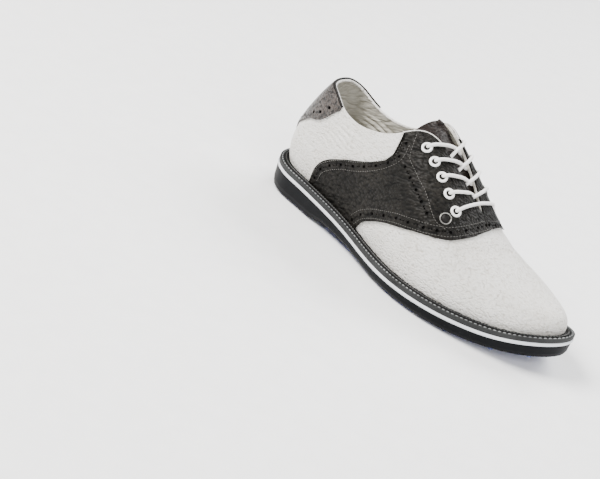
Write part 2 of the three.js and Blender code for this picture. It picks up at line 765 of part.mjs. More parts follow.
function buildHeelPatch() {
  return sheet(PATCH_COLUMNS, OVERLAY_ROWS - 1, (i, j, raised) => {
    const across = 2 * i / PATCH_COLUMNS - 1;
    const side = across < 0 ? 'lateral' : 'medial';
    const turn = turnOf(PATCH_END) * Math.abs(across);
    const at = stationOf(turn);
    const share = topEdgeShare(side, at) * THREE.MathUtils.lerp(PATCH_LOWER(at), 1, j / (OVERLAY_ROWS - 1));
    return skinPoint(side, turn, share, raised ? OVERLAY_TOP : OVERLAY_GAP);
  });
}

// A strip down the back seam, from the patch to the welt
function buildBackStrip() {
  const rise = PATCH_LOWER(0) * topEdgeShare('lateral', 0) - CLEARANCE / INSTEP_RISE;
  return sheet(STRIP_COLUMNS, OVERLAY_ROWS, (i, j, raised) => {
    const share = rise * j / OVERLAY_ROWS;
    const across = (i / STRIP_COLUMNS - 0.5) * BACK_STRIP_WIDTH;
    const step = 1e-3;
    const turn = step * Math.abs(across) / lastPoint('medial', step, share).y;
    return skinPoint(across < 0 ? 'lateral' : 'medial', turn, share, raised ? OVERLAY_TOP : OVERLAY_GAP);
  });
}

// A round cord through points, as a closed solid
function cord(points, diameter, steps) {
  const section = new THREE.Shape();
  for (let side = 0; side < CORD_SIDES; side++) {
    const angle = 2 * Math.PI * side / CORD_SIDES;
    const [x, y] = [Math.cos(angle) * diameter / 2, Math.sin(angle) * diameter / 2];
    if (side === 0) section.moveTo(x, y);
    else section.lineTo(x, y);
  }
  section.closePath();
  const path = new THREE.CatmullRomCurve3(points);
  const geometry = new THREE.ExtrudeGeometry(section, { steps, extrudePath: path, bevelEnabled: false });
  geometry.deleteAttribute('normal');
  geometry.deleteAttribute('uv');
  return outwards(mergeVertices(geometry, 1e-4));
}

// The rolled edge over the back of the collar, on top of the wall's edge
const PIPING_ENDS = { lateral: 0.163, medial: 0.175 };
function buildPiping() {
  const points = [];
  for (let i = -PIPING_STEPS / 2; i <= PIPING_STEPS / 2; i++) {
    const side = i < 0 ? 'lateral' : 'medial';
    const turn = turnOf(PIPING_ENDS[side]) * Math.abs(i) / (PIPING_STEPS / 2);
    const top = topEdgeShare(side, stationOf(turn));
    const edge = skinPoint(side, turn, top, -UPPER_WALL / 2);
    const below = skinPoint(side, turn, top - 0.01, -UPPER_WALL / 2);
    const up = edge.clone().sub(below).normalize();
    points.push(edge.addScaledVector(up, PIPING_DIAMETER / 2 + CLEARANCE));
  }
  return cord(points, PIPING_DIAMETER, PIPING_STEPS);
}

// Eyelets: a row of rings on either side of the throat, from the top one down
const EYELET_ROWS = 5;
const EYELETS = {
  lateral: { first: 0.4526, last: 0.6133, share: 0.715 },
  medial: { first: 0.4526, last: 0.6133, share: 0.700 },
};
const eyeletStation = (side, row) => (
  THREE.MathUtils.lerp(EYELETS[side].first, EYELETS[side].last, row / (EYELET_ROWS - 1)));

function buildEyelet(side, row) {
  const [hole, rim] = [EYELET_HOLE / 2, EYELET_DIAMETER / 2];
  const wall = rim - hole;
  const profile = [[hole, 0], [rim, 0], [rim - wall * 0.2, EYELET_THICKNESS],
    [hole + wall * 0.3, EYELET_THICKNESS], [hole, 0]];
  const ring = new THREE.LatheGeometry(profile.map(([x, y]) => new THREE.Vector2(x, y)), EYELET_SIDES);
  ring.deleteAttribute('normal');
  ring.deleteAttribute('uv');
  const turn = turnOf(eyeletStation(side, row));
  const normal = lastNormal(side, turn, EYELETS[side].share);
  ring.applyQuaternion(new THREE.Quaternion().setFromUnitVectors(new THREE.Vector3(0, 1, 0), normal));
  const seat = skinPoint(side, turn, EYELETS[side].share, EYELET_SEAT);
  ring.translate(seat.x, seat.y, seat.z);
  return outwards(mergeVertices(ring, 1e-4));
}

// Laces. A place across the throat is the share of the rib that lies between it and the ridge,
// negative on the outer side
const throatPoint = (at, across, lift) => (
  skinPoint(across < 0 ? 'lateral' : 'medial', turnOf(at), 1 - Math.abs(across), lift));
const LACE_SEAT = EYELET_SEAT + EYELET_THICKNESS + CLEARANCE + LACE_DIAMETER / 2;
const LACE_EDGE_ROOM = 0.031;
// How far a strand has come down along its way, as a share of its row's drop into the throat
const LACE_FALLS = {
  under: curve([0, 0.16, 0.35, 0.55, 0.75, 1], [0, -0.08, 0, 0.15, 0.70, 1]),
  over: curve([0, 0.16, 0.40, 0.65, 0.85, 1], [0, -0.08, 0, 0.08, 0.60, 1]),
  bar: curve([0, 0.16, 0.84, 1], [0, -0.07, -0.07, 0]),
};
// Drop of each row from the eyelets down into the throat, as shares of the height over the last
const LACE_DROPS = [1.15, 1.15, 0.85, 0.35, 1];

// A strand from an eyelet across the throat to a station on the other side
function strand(side, row, endAt, endAcross, kind) {
  const sign = signOf(side);
  const startAt = eyeletStation(side, row);
  const startAcross = sign * (1 - EYELETS[side].share);
  const points = [];
  for (let i = 0; i <= LACE_STEPS; i++) {
    const along = i / LACE_STEPS;
    const at = THREE.MathUtils.lerp(startAt, endAt, along);
    const across = THREE.MathUtils.lerp(startAcross, endAcross, along);
    const lift = LACE_SEAT * (1 - LACE_DROPS[row] * LACE_FALLS[kind](along));
    points.push(throatPoint(at, across, lift));
  }
  return cord(points, LACE_DIAMETER, LACE_STEPS);
}

// Where a strand dives under the other facing: past its own row, as a share of the row pitch
const LACE_DIVES = { lateral: [1.28, 1.15, 1.0, 0.72], medial: [1.2, 1.1, 0.95, 0.55] };

function buildCrossing(row) {
  const pitch = (EYELETS.lateral.last - EYELETS.lateral.first) / (EYELET_ROWS - 1);
  const dive = (side) => eyeletStation(side, row) + LACE_DIVES[side][row] * pitch;
  const place = (side, at) => signOf(side) * (1 - topEdgeShare(side, at) - LACE_EDGE_ROOM);
  const [lateralAt, medialAt] = SIDES.map(dive);
  const under = strand('lateral', row, medialAt, place('medial', medialAt), 'under');
  const over = strand('medial', row, lateralAt, place('lateral', lateralAt), 'over');
  return toGeometry(toSolid(under).add(toSolid(over)));
}

function buildBar() {
  const row = EYELET_ROWS - 1;
  const across = 1 - EYELETS.medial.share;
  return strand('lateral', row, eyeletStation('medial', row), across, 'bar');
}

add('welt', buildWelt(), 'weltRubber');
add('midsole', buildMidsole(), 'whiteRubber');
add('outsole', buildOutsole(), 'blackRubber');
add('tread_heel', buildTread('tread_heel'), 'blueRubber');
add('tread_forefoot', buildTread('tread_forefoot'), 'blueRubber');
add('insole', buildInsole(), 'insoleFoam');
add('tongue', buildTongue(), 'darkLeather');
add('upper', buildUpper(), 'whiteLeather');
add('saddle', buildSaddle(), 'darkLeather');
add('heel_patch', buildHeelPatch(), 'pewterLeather');
add('back_strip', buildBackStrip(), 'pewterLeather');
add('collar_piping', buildPiping(), 'pipingLeather');
for (let row = 0; row < EYELET_ROWS; row++) {
  for (const side of SIDES) add(`eyelet_${side}_${row + 1}`, buildEyelet(side, row), 'enamel');
  if (row < EYELET_ROWS - 1) add(`lace_crossing_${row + 1}`, buildCrossing(row), 'laceCord');
}
add('lace_bar', buildBar(), 'laceCord');

shoe.updateMatrixWorld(true);
const box = new THREE.Box3().setFromObject(shoe);
const middle = box.getCenter(new THREE.Vector3());
shoe.position.set(-middle.x, -middle.y, -box.min.z);

export default shoe;
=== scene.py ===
# Right saddle shoe: white and dark pebbled leather on a stitched welt and a studded rubber sole.
# Shapes are worked out in millimetres on the shoe's own axis: x from the back of the heel to the toe,
# y to the inner side, z up from the stud tips. They reach the frame's metres in one place, to_frame.
import math

import bmesh
import bpy
import numpy as np
from mathutils import Matrix, Vector


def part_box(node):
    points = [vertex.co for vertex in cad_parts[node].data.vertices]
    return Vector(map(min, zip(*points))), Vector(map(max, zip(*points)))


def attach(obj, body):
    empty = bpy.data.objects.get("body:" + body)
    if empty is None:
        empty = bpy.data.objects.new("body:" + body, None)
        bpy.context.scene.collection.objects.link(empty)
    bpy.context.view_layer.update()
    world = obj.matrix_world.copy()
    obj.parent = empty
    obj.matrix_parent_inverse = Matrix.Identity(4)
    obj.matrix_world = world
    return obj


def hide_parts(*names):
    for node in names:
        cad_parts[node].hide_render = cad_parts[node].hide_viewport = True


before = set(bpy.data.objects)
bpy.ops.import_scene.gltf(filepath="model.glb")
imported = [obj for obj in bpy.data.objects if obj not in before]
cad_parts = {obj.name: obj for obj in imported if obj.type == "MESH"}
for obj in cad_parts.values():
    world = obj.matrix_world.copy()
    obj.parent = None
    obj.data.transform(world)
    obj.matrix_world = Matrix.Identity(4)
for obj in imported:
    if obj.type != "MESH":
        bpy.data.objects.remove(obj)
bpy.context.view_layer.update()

MM = 0.001

# Driving sizes of the shoe
LENGTH = 304
BALL_WIDTH = 104
HEEL_WIDTH = 70
INSTEP_RISE = 105
TOE_RISE = 32
HEEL_STACK = 24.4
FORE_STACK = 13.9
TOE_SPRING = 15
ARCH_RISE = 3.6
STUD_HEIGHT = 2.4
WELT_SHELF = 8
UPPER_WALL = 2.2
LINING_WALL = 1.2
OVERLAY_TOP = 1.6
OVERLAY_FOOT = 0.15
WELT_TOP = 0.3
WELT_BOTTOM = 4.1
MIDSOLE_TOP = 4.4
MIDSOLE_BOTTOM = 6.8
TONGUE_THICKNESS = 3
PIPING_DIAMETER = 2.6
EYELET_DIAMETER = 9.2
EYELET_HOLE = 5.0
LACE_DIAMETER = 2.8
THROAT_END = 0.642

LATERAL, MEDIAL = -1, 1


def curve(stations, values):
    """A natural cubic curve through a short table."""
    x, y = np.array(stations, float), np.array(values, float)
    gaps, count = np.diff(x), len(x)
    system, right = np.eye(count), np.zeros(count)
    for i in range(1, count - 1):
        system[i, i - 1:i + 2] = gaps[i - 1], 2 * (gaps[i - 1] + gaps[i]), gaps[i]
        right[i] = 6 * ((y[i + 1] - y[i]) / gaps[i] - (y[i] - y[i - 1]) / gaps[i - 1])
    bend = np.linalg.solve(system, right)

    def at(station):
        s = np.clip(np.asarray(station, float), x[0], x[-1])
        i = np.clip(np.searchsorted(x, s) - 1, 0, count - 2)
        span = gaps[i]
        a = (x[i + 1] - s) / span
        b = 1 - a
        sag = ((a ** 3 - a) * bend[i] + (b ** 3 - b) * bend[i + 1]) * span * span / 6
        return a * y[i] + b * y[i + 1] + sag

    return at


def sections(names, rows):
    """One curve for each named column of a table whose first column is the station."""
    table = np.array(rows, float)
    return {name: curve(table[:, 0], table[:, i + 1]) for i, name in enumerate(names)}


def scaled(rows, shares_from=2):
    """Rows of [station, size that the row follows, shares...] turned into millimetres."""
    return [[row[0]] + [row[1] * share for share in row[shares_from:]] for row in rows]


OUTLINE = sections(("lateral", "medial", "middle"), scaled([
    # station, follows, lateral half width, medial half width, middle line
    [0.00, HEEL_WIDTH, 0.500, 0.500, 0],
    [0.12, HEEL_WIDTH, 0.493, 0.489, 0],
    [0.25, HEEL_WIDTH, 0.543, 0.457, 0],
    [0.38, BALL_WIDTH, 0.409, 0.274, 0],
    [0.50, BALL_WIDTH, 0.490, 0.317, 0],
    [0.61, BALL_WIDTH, 0.534, 0.415, 0],
    [0.71, BALL_WIDTH, 0.519, 0.481, 0.014],
    [0.82, BALL_WIDTH, 0.474, 0.490, 0.037],
    [0.92, BALL_WIDTH, 0.442, 0.438, 0.048],
    [1.00, BALL_WIDTH, 0.428, 0.394, 0.065],
]))
HEEL_ROUND = (0.125, 2.15)
TOE_ROUND = (0.30, 2.1)

FOOT = sections(("height",), [
    [at, heel * HEEL_STACK + fore * FORE_STACK + spring * TOE_SPRING] for at, heel, fore, spring in (
        (0.00, 1.000, 0.00, 0.00),
        (0.15, 0.905, 0.00, 0.00),
        (0.30, 0.620, 0.30, 0.00),
        (0.45, 0.150, 0.78, 0.00),
        (0.60, 0.000, 1.01, 0.00),
        (0.75, 0.000, 1.00, 0.12),
        (0.88, 0.000, 1.00, 0.44),
        (1.00, 0.000, 1.20, 1.02),
    )])

RIDGE = sections(("rise", "middle"), scaled([
    # station, follows, rise over the foot, place across
    [0.14, INSTEP_RISE, 0.905, 0],
    [0.25, INSTEP_RISE, 0.981, 0],
    [0.34, INSTEP_RISE, 1.005, 0.029],
    [0.42, INSTEP_RISE, 0.976, 0.095],
    [0.50, INSTEP_RISE, 0.871, 0.090],
    [0.58, INSTEP_RISE, 0.705, 0.059],
    [0.66, INSTEP_RISE, 0.510, 0.041],
    [0.74, TOE_RISE, 1.225, 0.156],
    [0.81, TOE_RISE, 1.000, 0.172],
    [0.87, TOE_RISE, 0.828, 0.194],
    [0.90, TOE_RISE, 0.738, 0.204],
]))

RIB_NAMES = ("out", "low", "in_middle", "middle", "in_top")
RIBS = {
    LATERAL: sections(RIB_NAMES, [
        [0.00, 0.380, 0.30, 0.380, 0.62, 0.33],
        [0.12, 0.185, 0.30, 0.036, 0.62, 0.24],
        [0.25, 0.115, 0.30, 0.020, 0.62, 0.355],
        [0.42, 0.073, 0.32, 0.036, 0.74, 0.40],
        [0.60, 0.045, 0.38, 0.080, 0.84, 0.515],
        [0.80, 0.050, 0.42, 0.060, 0.92, 0.50],
        [1.00, 0.030, 0.45, 0.050, 0.95, 0.50],
    ]),
    MEDIAL: sections(RIB_NAMES, [
        [0.00, 0.380, 0.30, 0.380, 0.62, 0.33],
        [0.12, 0.200, 0.30, 0.025, 0.62, 0.25],
        [0.25, 0.250, 0.30, -0.050, 0.62, 0.335],
        [0.42, 0.450, 0.32, -0.220, 0.72, 0.29],
        [0.60, 0.120, 0.38, -0.010, 0.86, 0.41],
        [0.80, 0.060, 0.42, 0.040, 0.94, 0.50],
        [1.00, 0.030, 0.45, 0.050, 0.95, 0.50],
    ]),
}

TOP_EDGE = sections((LATERAL, MEDIAL), [
    [0.000, 0.690, 0.690],
    [0.060, 0.665, 0.650],
    [0.120, 0.628, 0.596],
    [0.166, 0.566, 0.555],
    [0.205, 0.537, 0.536],
    [0.242, 0.527, 0.531],
    [0.280, 0.535, 0.539],
    [0.312, 0.553, 0.559],
    [0.338, 0.580, 0.589],
    [0.361, 0.620, 0.632],
    [0.383, 0.675, 0.705],
    [0.402, 0.730, 0.790],
    [0.430, 0.790, 0.890],
    [0.484, 0.841, 0.955],
    [0.560, 0.893, 0.970],
    [0.610, 0.945, 0.982],
    [THROAT_END, 1.000, 1.000],
])


def station_of(turn):
    return (1 - np.cos(np.pi * np.asarray(turn, float))) / 2


def turn_of(station):
    return np.arccos(1 - 2 * np.clip(np.asarray(station, float), 0, 1)) / np.pi


def smooth_step(value, start, end):
    share = np.clip((np.asarray(value, float) - start) / (end - start), 0, 1)
    return share * share * (3 - 2 * share)


def rounded(share, reach, power):
    part = np.clip(share / reach, 0, 1)
    return (1 - (1 - part) ** power) ** (1 / power)


def by_side(sign, tables, name, station):
    return np.where(sign < 0, tables[LATERAL][name](station), tables[MEDIAL][name](station))


def bare_outline(sign, turn):
    at = station_of(turn)
    ends = rounded(at, *HEEL_ROUND) * rounded(1 - at, *TOE_ROUND)
    half = np.where(sign < 0, OUTLINE["lateral"](at), OUTLINE["medial"](at))
    return np.stack([at * LENGTH, OUTLINE["middle"](at) + sign * half * ends], -1)


def outline(sign, turn, grow):
    """The sole's outline, moved outwards by a distance."""
    step = 1e-4
    sign, turn, grow = np.broadcast_arrays(sign, np.asarray(turn, float), grow)
    along = (bare_outline(sign, np.clip(turn + step, 0, 1))
             - bare_outline(sign, np.clip(turn - step, 0, 1)))
    zero = np.zeros(turn.shape)
    along = np.where((turn < 2 * step)[..., None], np.stack([zero, sign], -1), along)
    along = np.where((turn > 1 - 2 * step)[..., None], np.stack([zero, -sign], -1), along)
    along = along / np.linalg.norm(along, axis=-1, keepdims=True)
    out = np.stack([-sign * along[..., 1], sign * along[..., 0]], -1)
    return bare_outline(sign, turn) + out * grow[..., None]


def foot_height(x):
    return STUD_HEIGHT + FOOT["height"](x / LENGTH)


def tread_height(x):
    at = x / LENGTH
    arch = smooth_step(at, 0.262, 0.276) * (1 - smooth_step(at, 0.36, 0.52))
    spring = np.maximum(0, (at - 0.70) / 0.30) ** 2.2
    return STUD_HEIGHT + ARCH_RISE * arch + TOE_SPRING * spring


def ridge_station(at):
    return at + 1.83 * np.maximum(0, 0.30 - at) ** 2 - 1.42 * np.maximum(0, at - 0.70) ** 2


def ridge(station):
    x = station * LENGTH
    return np.stack([x, RIDGE["middle"](station), foot_height(x) + RIDGE["rise"](station)], -1)


def last_point(sign, turn, share):
    """A point of the upper's outer face, on the rib from the foot (0) to the ridge (1)."""
    sign, turn, share = np.broadcast_arrays(sign, np.asarray(turn, float), np.asarray(share, float))
    at = station_of(turn)
    foot = outline(sign, turn, -WELT_SHELF)
    foot_z = foot_height(foot[..., 0])
    top_at = ridge_station(at)
    top = ridge(top_at)
    step = 1e-3
    slope = (ridge(top_at + step)[..., 2] - ridge(top_at - step)[..., 2]) / (2 * step * LENGTH)
    left = 1 - share
    weights = (4 * left ** 3 * share, 6 * left ** 2 * share ** 2, 4 * left * share ** 3, share ** 4)
    out, low, in_middle, middle, in_top = (by_side(sign, RIBS, name, at) for name in RIB_NAMES)
    across = -out * weights[0] + in_middle * weights[1] + in_top * weights[2] + weights[3]
    up = low * weights[0] + middle * weights[1] + weights[2] + weights[3]
    drop = np.minimum(0, slope) * (foot[..., 0] - top[..., 0]) * (1 - in_top)
    flat = foot + (top[..., :2] - foot) * across[..., None]
    return np.concatenate([flat, (foot_z + (top[..., 2] - foot_z) * up + drop * weights[2])[..., None]], -1)


def last_normal(sign, turn, share):
    step = 1e-4
    sign, turn, share = np.broadcast_arrays(sign, np.asarray(turn, float), np.asarray(share, float))
    along = (last_point(sign, np.clip(turn + step, 0, 1), share)
             - last_point(sign, np.clip(turn - step, 0, 1), share))
    zero = np.zeros(turn.shape)
    along = np.where((turn < 2 * step)[..., None], np.stack([zero, sign, zero], -1), along)
    along = np.where((turn > 1 - 2 * step)[..., None], np.stack([zero, -sign, zero], -1), along)
    up = (last_point(sign, turn, np.minimum(1, share + step))
          - last_point(sign, turn, np.maximum(0, share - step)))
    normal = np.cross(along, up) * -sign[..., None]
    return normal / np.linalg.norm(normal, axis=-1, keepdims=True)


def skin(sign, turn, share, lift=0.0):
    """A point of the upper, moved off its outer face by lift millimetres."""
    sign, turn, share, lift = np.broadcast_arrays(sign, *(np.asarray(part, float)
                                                          for part in (turn, share, lift)))
    sign = np.where((turn <= 0) | (turn >= 1) | (share > 1 - 1e-9), LATERAL, sign)
    return last_point(sign, turn, share) + last_normal(sign, turn, share) * lift[..., None]


def top_edge(sign, station):
    share = np.where(sign < 0, TOP_EDGE[LATERAL](station), TOP_EDGE[MEDIAL](station))
    return np.where(station >= THROAT_END, 1.0, np.minimum(1, share))


# The shoe axis starts at the back of the heel; the frame's welt says where that is
AROUND = np.linspace(0, 1, 400)
welt_low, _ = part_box("welt")
SHIFT = np.array([welt_low.x / MM, welt_low.y / MM - outline(LATERAL, AROUND, 0.0)[:, 1].min(), 0.0])


def to_frame(points):
    return (np.asarray(points) + SHIFT) * MM


def srgb(code):
    """An sRGB hex colour as linear red, green, blue and alpha."""
    parts = [int(code[i:i + 2], 16) / 255 for i in (1, 3, 5)]
    return tuple(c / 12.92 if c <= 0.04045 else ((c + 0.055) / 1.055) ** 2.4 for c in parts) + (1.0,)


def node(material, kind, links=(), values=(), stops=(), **settings):
    """Adds a node, with its settings, input values, links as (input, from node, output) and colour stops."""
    tree = material.node_tree
    made = tree.nodes.new(kind)
    for count, (place, colour) in enumerate(stops):
        element = made.color_ramp.elements[count] if count < 2 else made.color_ramp.elements.new(place)
        element.position = place
        element.color = srgb(colour) if isinstance(colour, str) else (colour, colour, colour, 1)
    for key, value in settings.items():
        setattr(made, key, value)
    for key, value in dict(values).items():
        made.inputs[key].default_value = value
    for key, source, output in links:
        tree.links.new(source.outputs[output], made.inputs[key])
    return made


def new_material(name, **shader_values):
    """A material and its shader, with the shader's single values set on its own sockets."""
    material = bpy.data.materials.new(name)
    material.use_nodes = True
    shader = material.node_tree.nodes["Principled BSDF"]
    for key, value in shader_values.items():
        shader.inputs[key.replace("_", " ")].default_value = value
    return material, shader


CREASE_ROUGHER = 0.25
HIDE_PATCH = 26
RUBBER_PATCH = 18


def joined(material, shader, **sources):
    """Links each source's output, given as (node, output), to the shader's socket of that name."""
    for key, (source, output) in sources.items():
        material.node_tree.links.new(source.outputs[output], shader.inputs[key.replace("_", " ")])
    return material


def leather(name, colours, grain, bump, roughness, stretch=(1, 1, 1), turn=(0, 0, 0), **shader_values):
    """Tumbled leather: pebbles of a grain in millimetres, broken wrinkles over them and a worn tone, with
    painted shade in the creases between pebbles and a painted highlight on their tops.
    """
    material, shader = new_material(name, **shader_values)
    place = node(material, "ShaderNodeTexCoord")
    wobble = node(material, "ShaderNodeTexNoise", [("Vector", place, "Object")],
                  {"Scale": 1 / (grain * 3.0 * MM), "Detail": 2.0})
    bent = node(material, "ShaderNodeVectorMath", [(0, wobble, "Color")], operation="SCALE")
    bent.inputs["Scale"].default_value = grain * 1.4 * MM
    moved = node(material, "ShaderNodeVectorMath", [(0, place, "Object"), (1, bent, 0)], operation="ADD")
    turned = node(material, "ShaderNodeMapping", [("Vector", moved, 0)], {"Rotation": turn, "Scale": stretch},
                  vector_type="TEXTURE")
    pebbles = node(material, "ShaderNodeTexVoronoi", [("Vector", turned, 0)],
                   {"Scale": 1 / (grain * MM)}, feature="SMOOTH_F1")
    domes = node(material, "ShaderNodeValToRGB", [("Fac", pebbles, "Distance")],
                 stops=[(0.15, 1.0), (0.45, 0.72), (0.80, 0.0)])
    wrinkles = node(material, "ShaderNodeTexNoise", [("Vector", turned, 0)],
                    {"Scale": 1 / (grain * 2.2 * MM), "Detail": 4.0, "Roughness": 0.6})
    tone = node(material, "ShaderNodeTexNoise", [("Vector", place, "Object")],
                {"Scale": 1 / (HIDE_PATCH * MM), "Detail": 3.0})
    height = node(material, "ShaderNodeMath", [(0, domes, "Color"), (1, wrinkles, "Fac")], operation="ADD")
    raised = node(material, "ShaderNodeBump", [("Height", height, 0)],
                  {"Strength": 1.0, "Distance": grain * bump * MM})
    # Painted shade and highlight: the colour darkens in the creases between pebbles and lightens on their tops,
    # times a random tone
    tone_and_crease_shade = node(material, "ShaderNodeMath", [(0, tone, "Fac"), (1, domes, "Color")], operation="MULTIPLY")
    colour = node(material, "ShaderNodeValToRGB", [("Fac", tone_and_crease_shade, 0)],
                  stops=[(0.04, colours[0]), (0.28, colours[1]), (0.60, colours[2])])
    rough = node(material, "ShaderNodeValToRGB", [("Fac", domes, "Color")],
                 stops=[(0.0, min(1, roughness + CREASE_ROUGHER)), (1.0, roughness)])
    return joined(material, shader, Base_Color=(colour, "Color"), Roughness=(rough, "Color"),
                  Normal=(raised, "Normal"))


def rubber(name, colours, grit, bump, roughness, **shader_values):
    """Moulded rubber: a fine even grit with a slow change of tone."""
    material, shader = new_material(name, Roughness=roughness, **shader_values)
    place = node(material, "ShaderNodeTexCoord")
    fine = node(material, "ShaderNodeTexNoise", [("Vector", place, "Object")],
                {"Scale": 1 / (grit * MM), "Detail": 3.0})
    tone = node(material, "ShaderNodeTexNoise", [("Vector", place, "Object")],
                {"Scale": 1 / (RUBBER_PATCH * MM), "Detail": 4.0})
    colour = node(material, "ShaderNodeValToRGB", [("Fac", tone, "Fac")],
                  stops=[(0.3, colours[0]), (0.7, colours[1])])
    raised = node(material, "ShaderNodeBump", [("Height", fine, "Fac")],
                  {"Strength": bump, "Distance": grit * 0.2 * MM})
    return joined(material, shader, Base_Color=(colour, "Color"), Normal=(raised, "Normal"))


def woven_cord(name, colours, picks_round, picks_along):
    """Round braided cotton: strands that cross in small diamonds, on the cord's own map."""
    material, shader = new_material(name, Roughness=0.85, Sheen_Weight=0.3, Sheen_Roughness=0.5)
    place = node(material, "ShaderNodeUVMap")
    waves = []
    for lean in (1, -1):
        turned = node(material, "ShaderNodeMapping", [("Vector", place, "UV")],
                      {"Scale": (picks_round * lean, picks_along, 1)})
        split = node(material, "ShaderNodeSeparateXYZ", [("Vector", turned, 0)])
        total = node(material, "ShaderNodeMath", [(0, split, "X"), (1, split, "Y")], operation="ADD")
        angle = node(material, "ShaderNodeMath", [(0, total, 0)], operation="MULTIPLY")
        angle.inputs[1].default_value = 2 * math.pi
        waves.append(node(material, "ShaderNodeMath", [(0, angle, 0)], operation="SINE"))
    weave = node(material, "ShaderNodeMath", [(0, waves[0], 0), (1, waves[1], 0)], operation="MAXIMUM")
    # Painted shade: the white cotton darkens in the grooves between the strands
    colour = node(material, "ShaderNodeValToRGB", [("Fac", weave, 0)],
                  stops=[(0.0, colours[0]), (0.7, colours[1])])
    raised = node(material, "ShaderNodeBump", [("Height", weave, 0)], {"Strength": 0.5, "Distance": 0.12 * MM})
    return joined(material, shader, Base_Color=(colour, "Color"), Normal=(raised, "Normal"))


# Pebbles run along the shoe: their length, width and height against the grain's own size
LONG_GRAIN = (2.0, 0.75, 0.9)
SHORT_GRAIN = (1.35, 0.85, 0.95)
# Full-grain tumbled leather, drum-dyed white: soft satin, with a warm painted shade in its creases
white_leather = leather("white_tumbled_leather", ("#BDB7AE", "#CFCCC6", "#D8D6D2"), 1.35, 0.62, 0.42,
                        stretch=SHORT_GRAIN, turn=(0.1, 0.04, 0.1), Coat_Weight=0.1, Coat_Roughness=0.3)
# The same hide dyed near black, with a painted grey highlight on its pebbles
dark_leather = leather("dark_tumbled_leather", ("#040403", "#0F0E0C", "#1F1D1A"), 2.0, 0.52, 0.38,
                       stretch=LONG_GRAIN, turn=(0.1, -0.24, 0.1), Specular_IOR_Level=0.1)
# Pewter-dyed leather of the heel patch: the pebbles are polished, so they glint, and a painted highlight
# lightens their tops as well
pewter_leather = leather("pewter_pebbled_leather", ("#060505", "#1E1A18", "#453E3A"), 2.0, 0.6, 0.30,
                         stretch=(1.6, 0.9, 0.8), turn=(0.4, 0.6, 0.3), Specular_IOR_Level=0.3,
                         Coat_Weight=0.25, Coat_Roughness=0.25)
# Softer, thinner dark leather of the tongue, with fine cross wrinkles
tongue_hide = leather("dark_tongue_leather", ("#090706", "#181311", "#261F1C"), 1.5, 0.30, 0.42,
                      stretch=(0.7, 2.2, 0.8), turn=(0, 0.5, 0), Specular_IOR_Level=0.15)
# Smooth skived leather round the collar's edge
edge_leather = leather("skived_edge_leather", ("#0B0A0A", "#151312", "#1D1B19"), 0.8, 0.1, 0.45,
                       Specular_IOR_Level=0.15)
# Thin lining leather, matt, with soft ribs where it is eased round the heel; its pale colour is darkened all
# over as painted shade for the inside of the shoe
lining_leather = leather("lining_leather_painted_shade", ("#8E8A7F", "#A8A499", "#B9B6AC"), 2.6, 0.25, 0.6,
                         stretch=(2.6, 1.0, 0.7), turn=(0, -0.35, 0))
# Knitted footbed cover over foam: flat and dull, a little darker than the lining
footbed = leather("footbed_cover", ("#A5A199", "#C6C2BA", "#D4D0C8"), 0.9, 0.1, 0.85)
# Moulded rubber of the sole: a gritty charcoal welt and its darker inner bead,
# a clean white line, a matt black shell
welt_rubber = rubber("charcoal_welt_rubber", ("#131414", "#262727"), 1.1, 1.0, 0.65, Specular_IOR_Level=0.3)
inner_welt_rubber = rubber("black_welt_rubber", ("#070707", "#111111"), 0.9, 0.8, 0.5, Specular_IOR_Level=0.2)
white_rubber = rubber("white_midsole_rubber", ("#C6C9CE", "#D4D6DA"), 0.8, 0.25, 0.45)
black_rubber = rubber("black_sole_rubber", ("#050608", "#0A0B0E"), 0.9, 0.35, 0.5, Specular_IOR_Level=0.09)
# Moulded polyurethane of the tread, slightly clear: deep blue pads, paler studs and a wet gloss
blue_rubber = rubber("blue_translucent_rubber", ("#141F66", "#22307E"), 1.2, 0.15, 0.22,
                     Transmission_Weight=0.15, IOR=1.5, Coat_Weight=0.3, Coat_Roughness=0.15)
stud_rubber = rubber("pale_stud_rubber", ("#4C5684", "#6D77A3"), 1.2, 0.1, 0.2,
                     Transmission_Weight=0.3, IOR=1.5, Coat_Weight=0.3, Coat_Roughness=0.12)
# Stove enamel over brass: a hard gloss skin
enamel = rubber("white_enamel", ("#F1EFEC", "#F8F7F5"), 2.0, 0.05, 0.25, Coat_Weight=0.6, Coat_Roughness=0.08)
# Braided cotton, dull and white: 4 strands round it and 110 picks on a strand, about one each 0.7 mm
lace_cotton = woven_cord("white_braided_cotton", ("#DAD7D2", "#FAF9F7"), 4, 110)
# Bonded polyester thread: a slight sheen, grey on the saddle and the bead, paler on the welt
dark_thread = rubber("grey_saddle_thread", ("#3C3A37", "#5A5854"), 0.4, 0.4, 0.5)
grey_thread = rubber("grey_bead_thread", ("#3A3A39", "#5C5C5A"), 0.4, 0.4, 0.5)
pale_thread = rubber("pale_welt_thread", ("#606263", "#8A8C8D"), 0.4, 0.4, 0.5)
# Painted shade for the hollow under a punched hole, which takes no light
hole_shade = rubber("hole_shade", ("#020202", "#050404"), 1.0, 0.1, 0.95, Specular_IOR_Level=0.1)
# Plain nickel rim of the round badge by the lowest eyelet
nickel = rubber("brushed_nickel", ("#8E8C88", "#B5B3AF"), 0.5, 0.3, 0.3, Metallic=1.0)


SEAM_GAP = 0.002
AXIS_HEIGHT = 35


def piece_from(bm, name, material, replaces=(), smooth=True):
    """Makes a finished piece of a bmesh: its object sits at the origin and rides on the body."""
    mesh = bpy.data.meshes.new(name)
    bm.to_mesh(mesh)
    bm.free()
    made = bpy.data.objects.new(name, mesh)
    bpy.context.scene.collection.objects.link(made)
    mesh.materials.append(material)
    if smooth:
        mesh.shade_smooth()
    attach(made, "root")
    if replaces:
        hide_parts(*replaces)
    return made


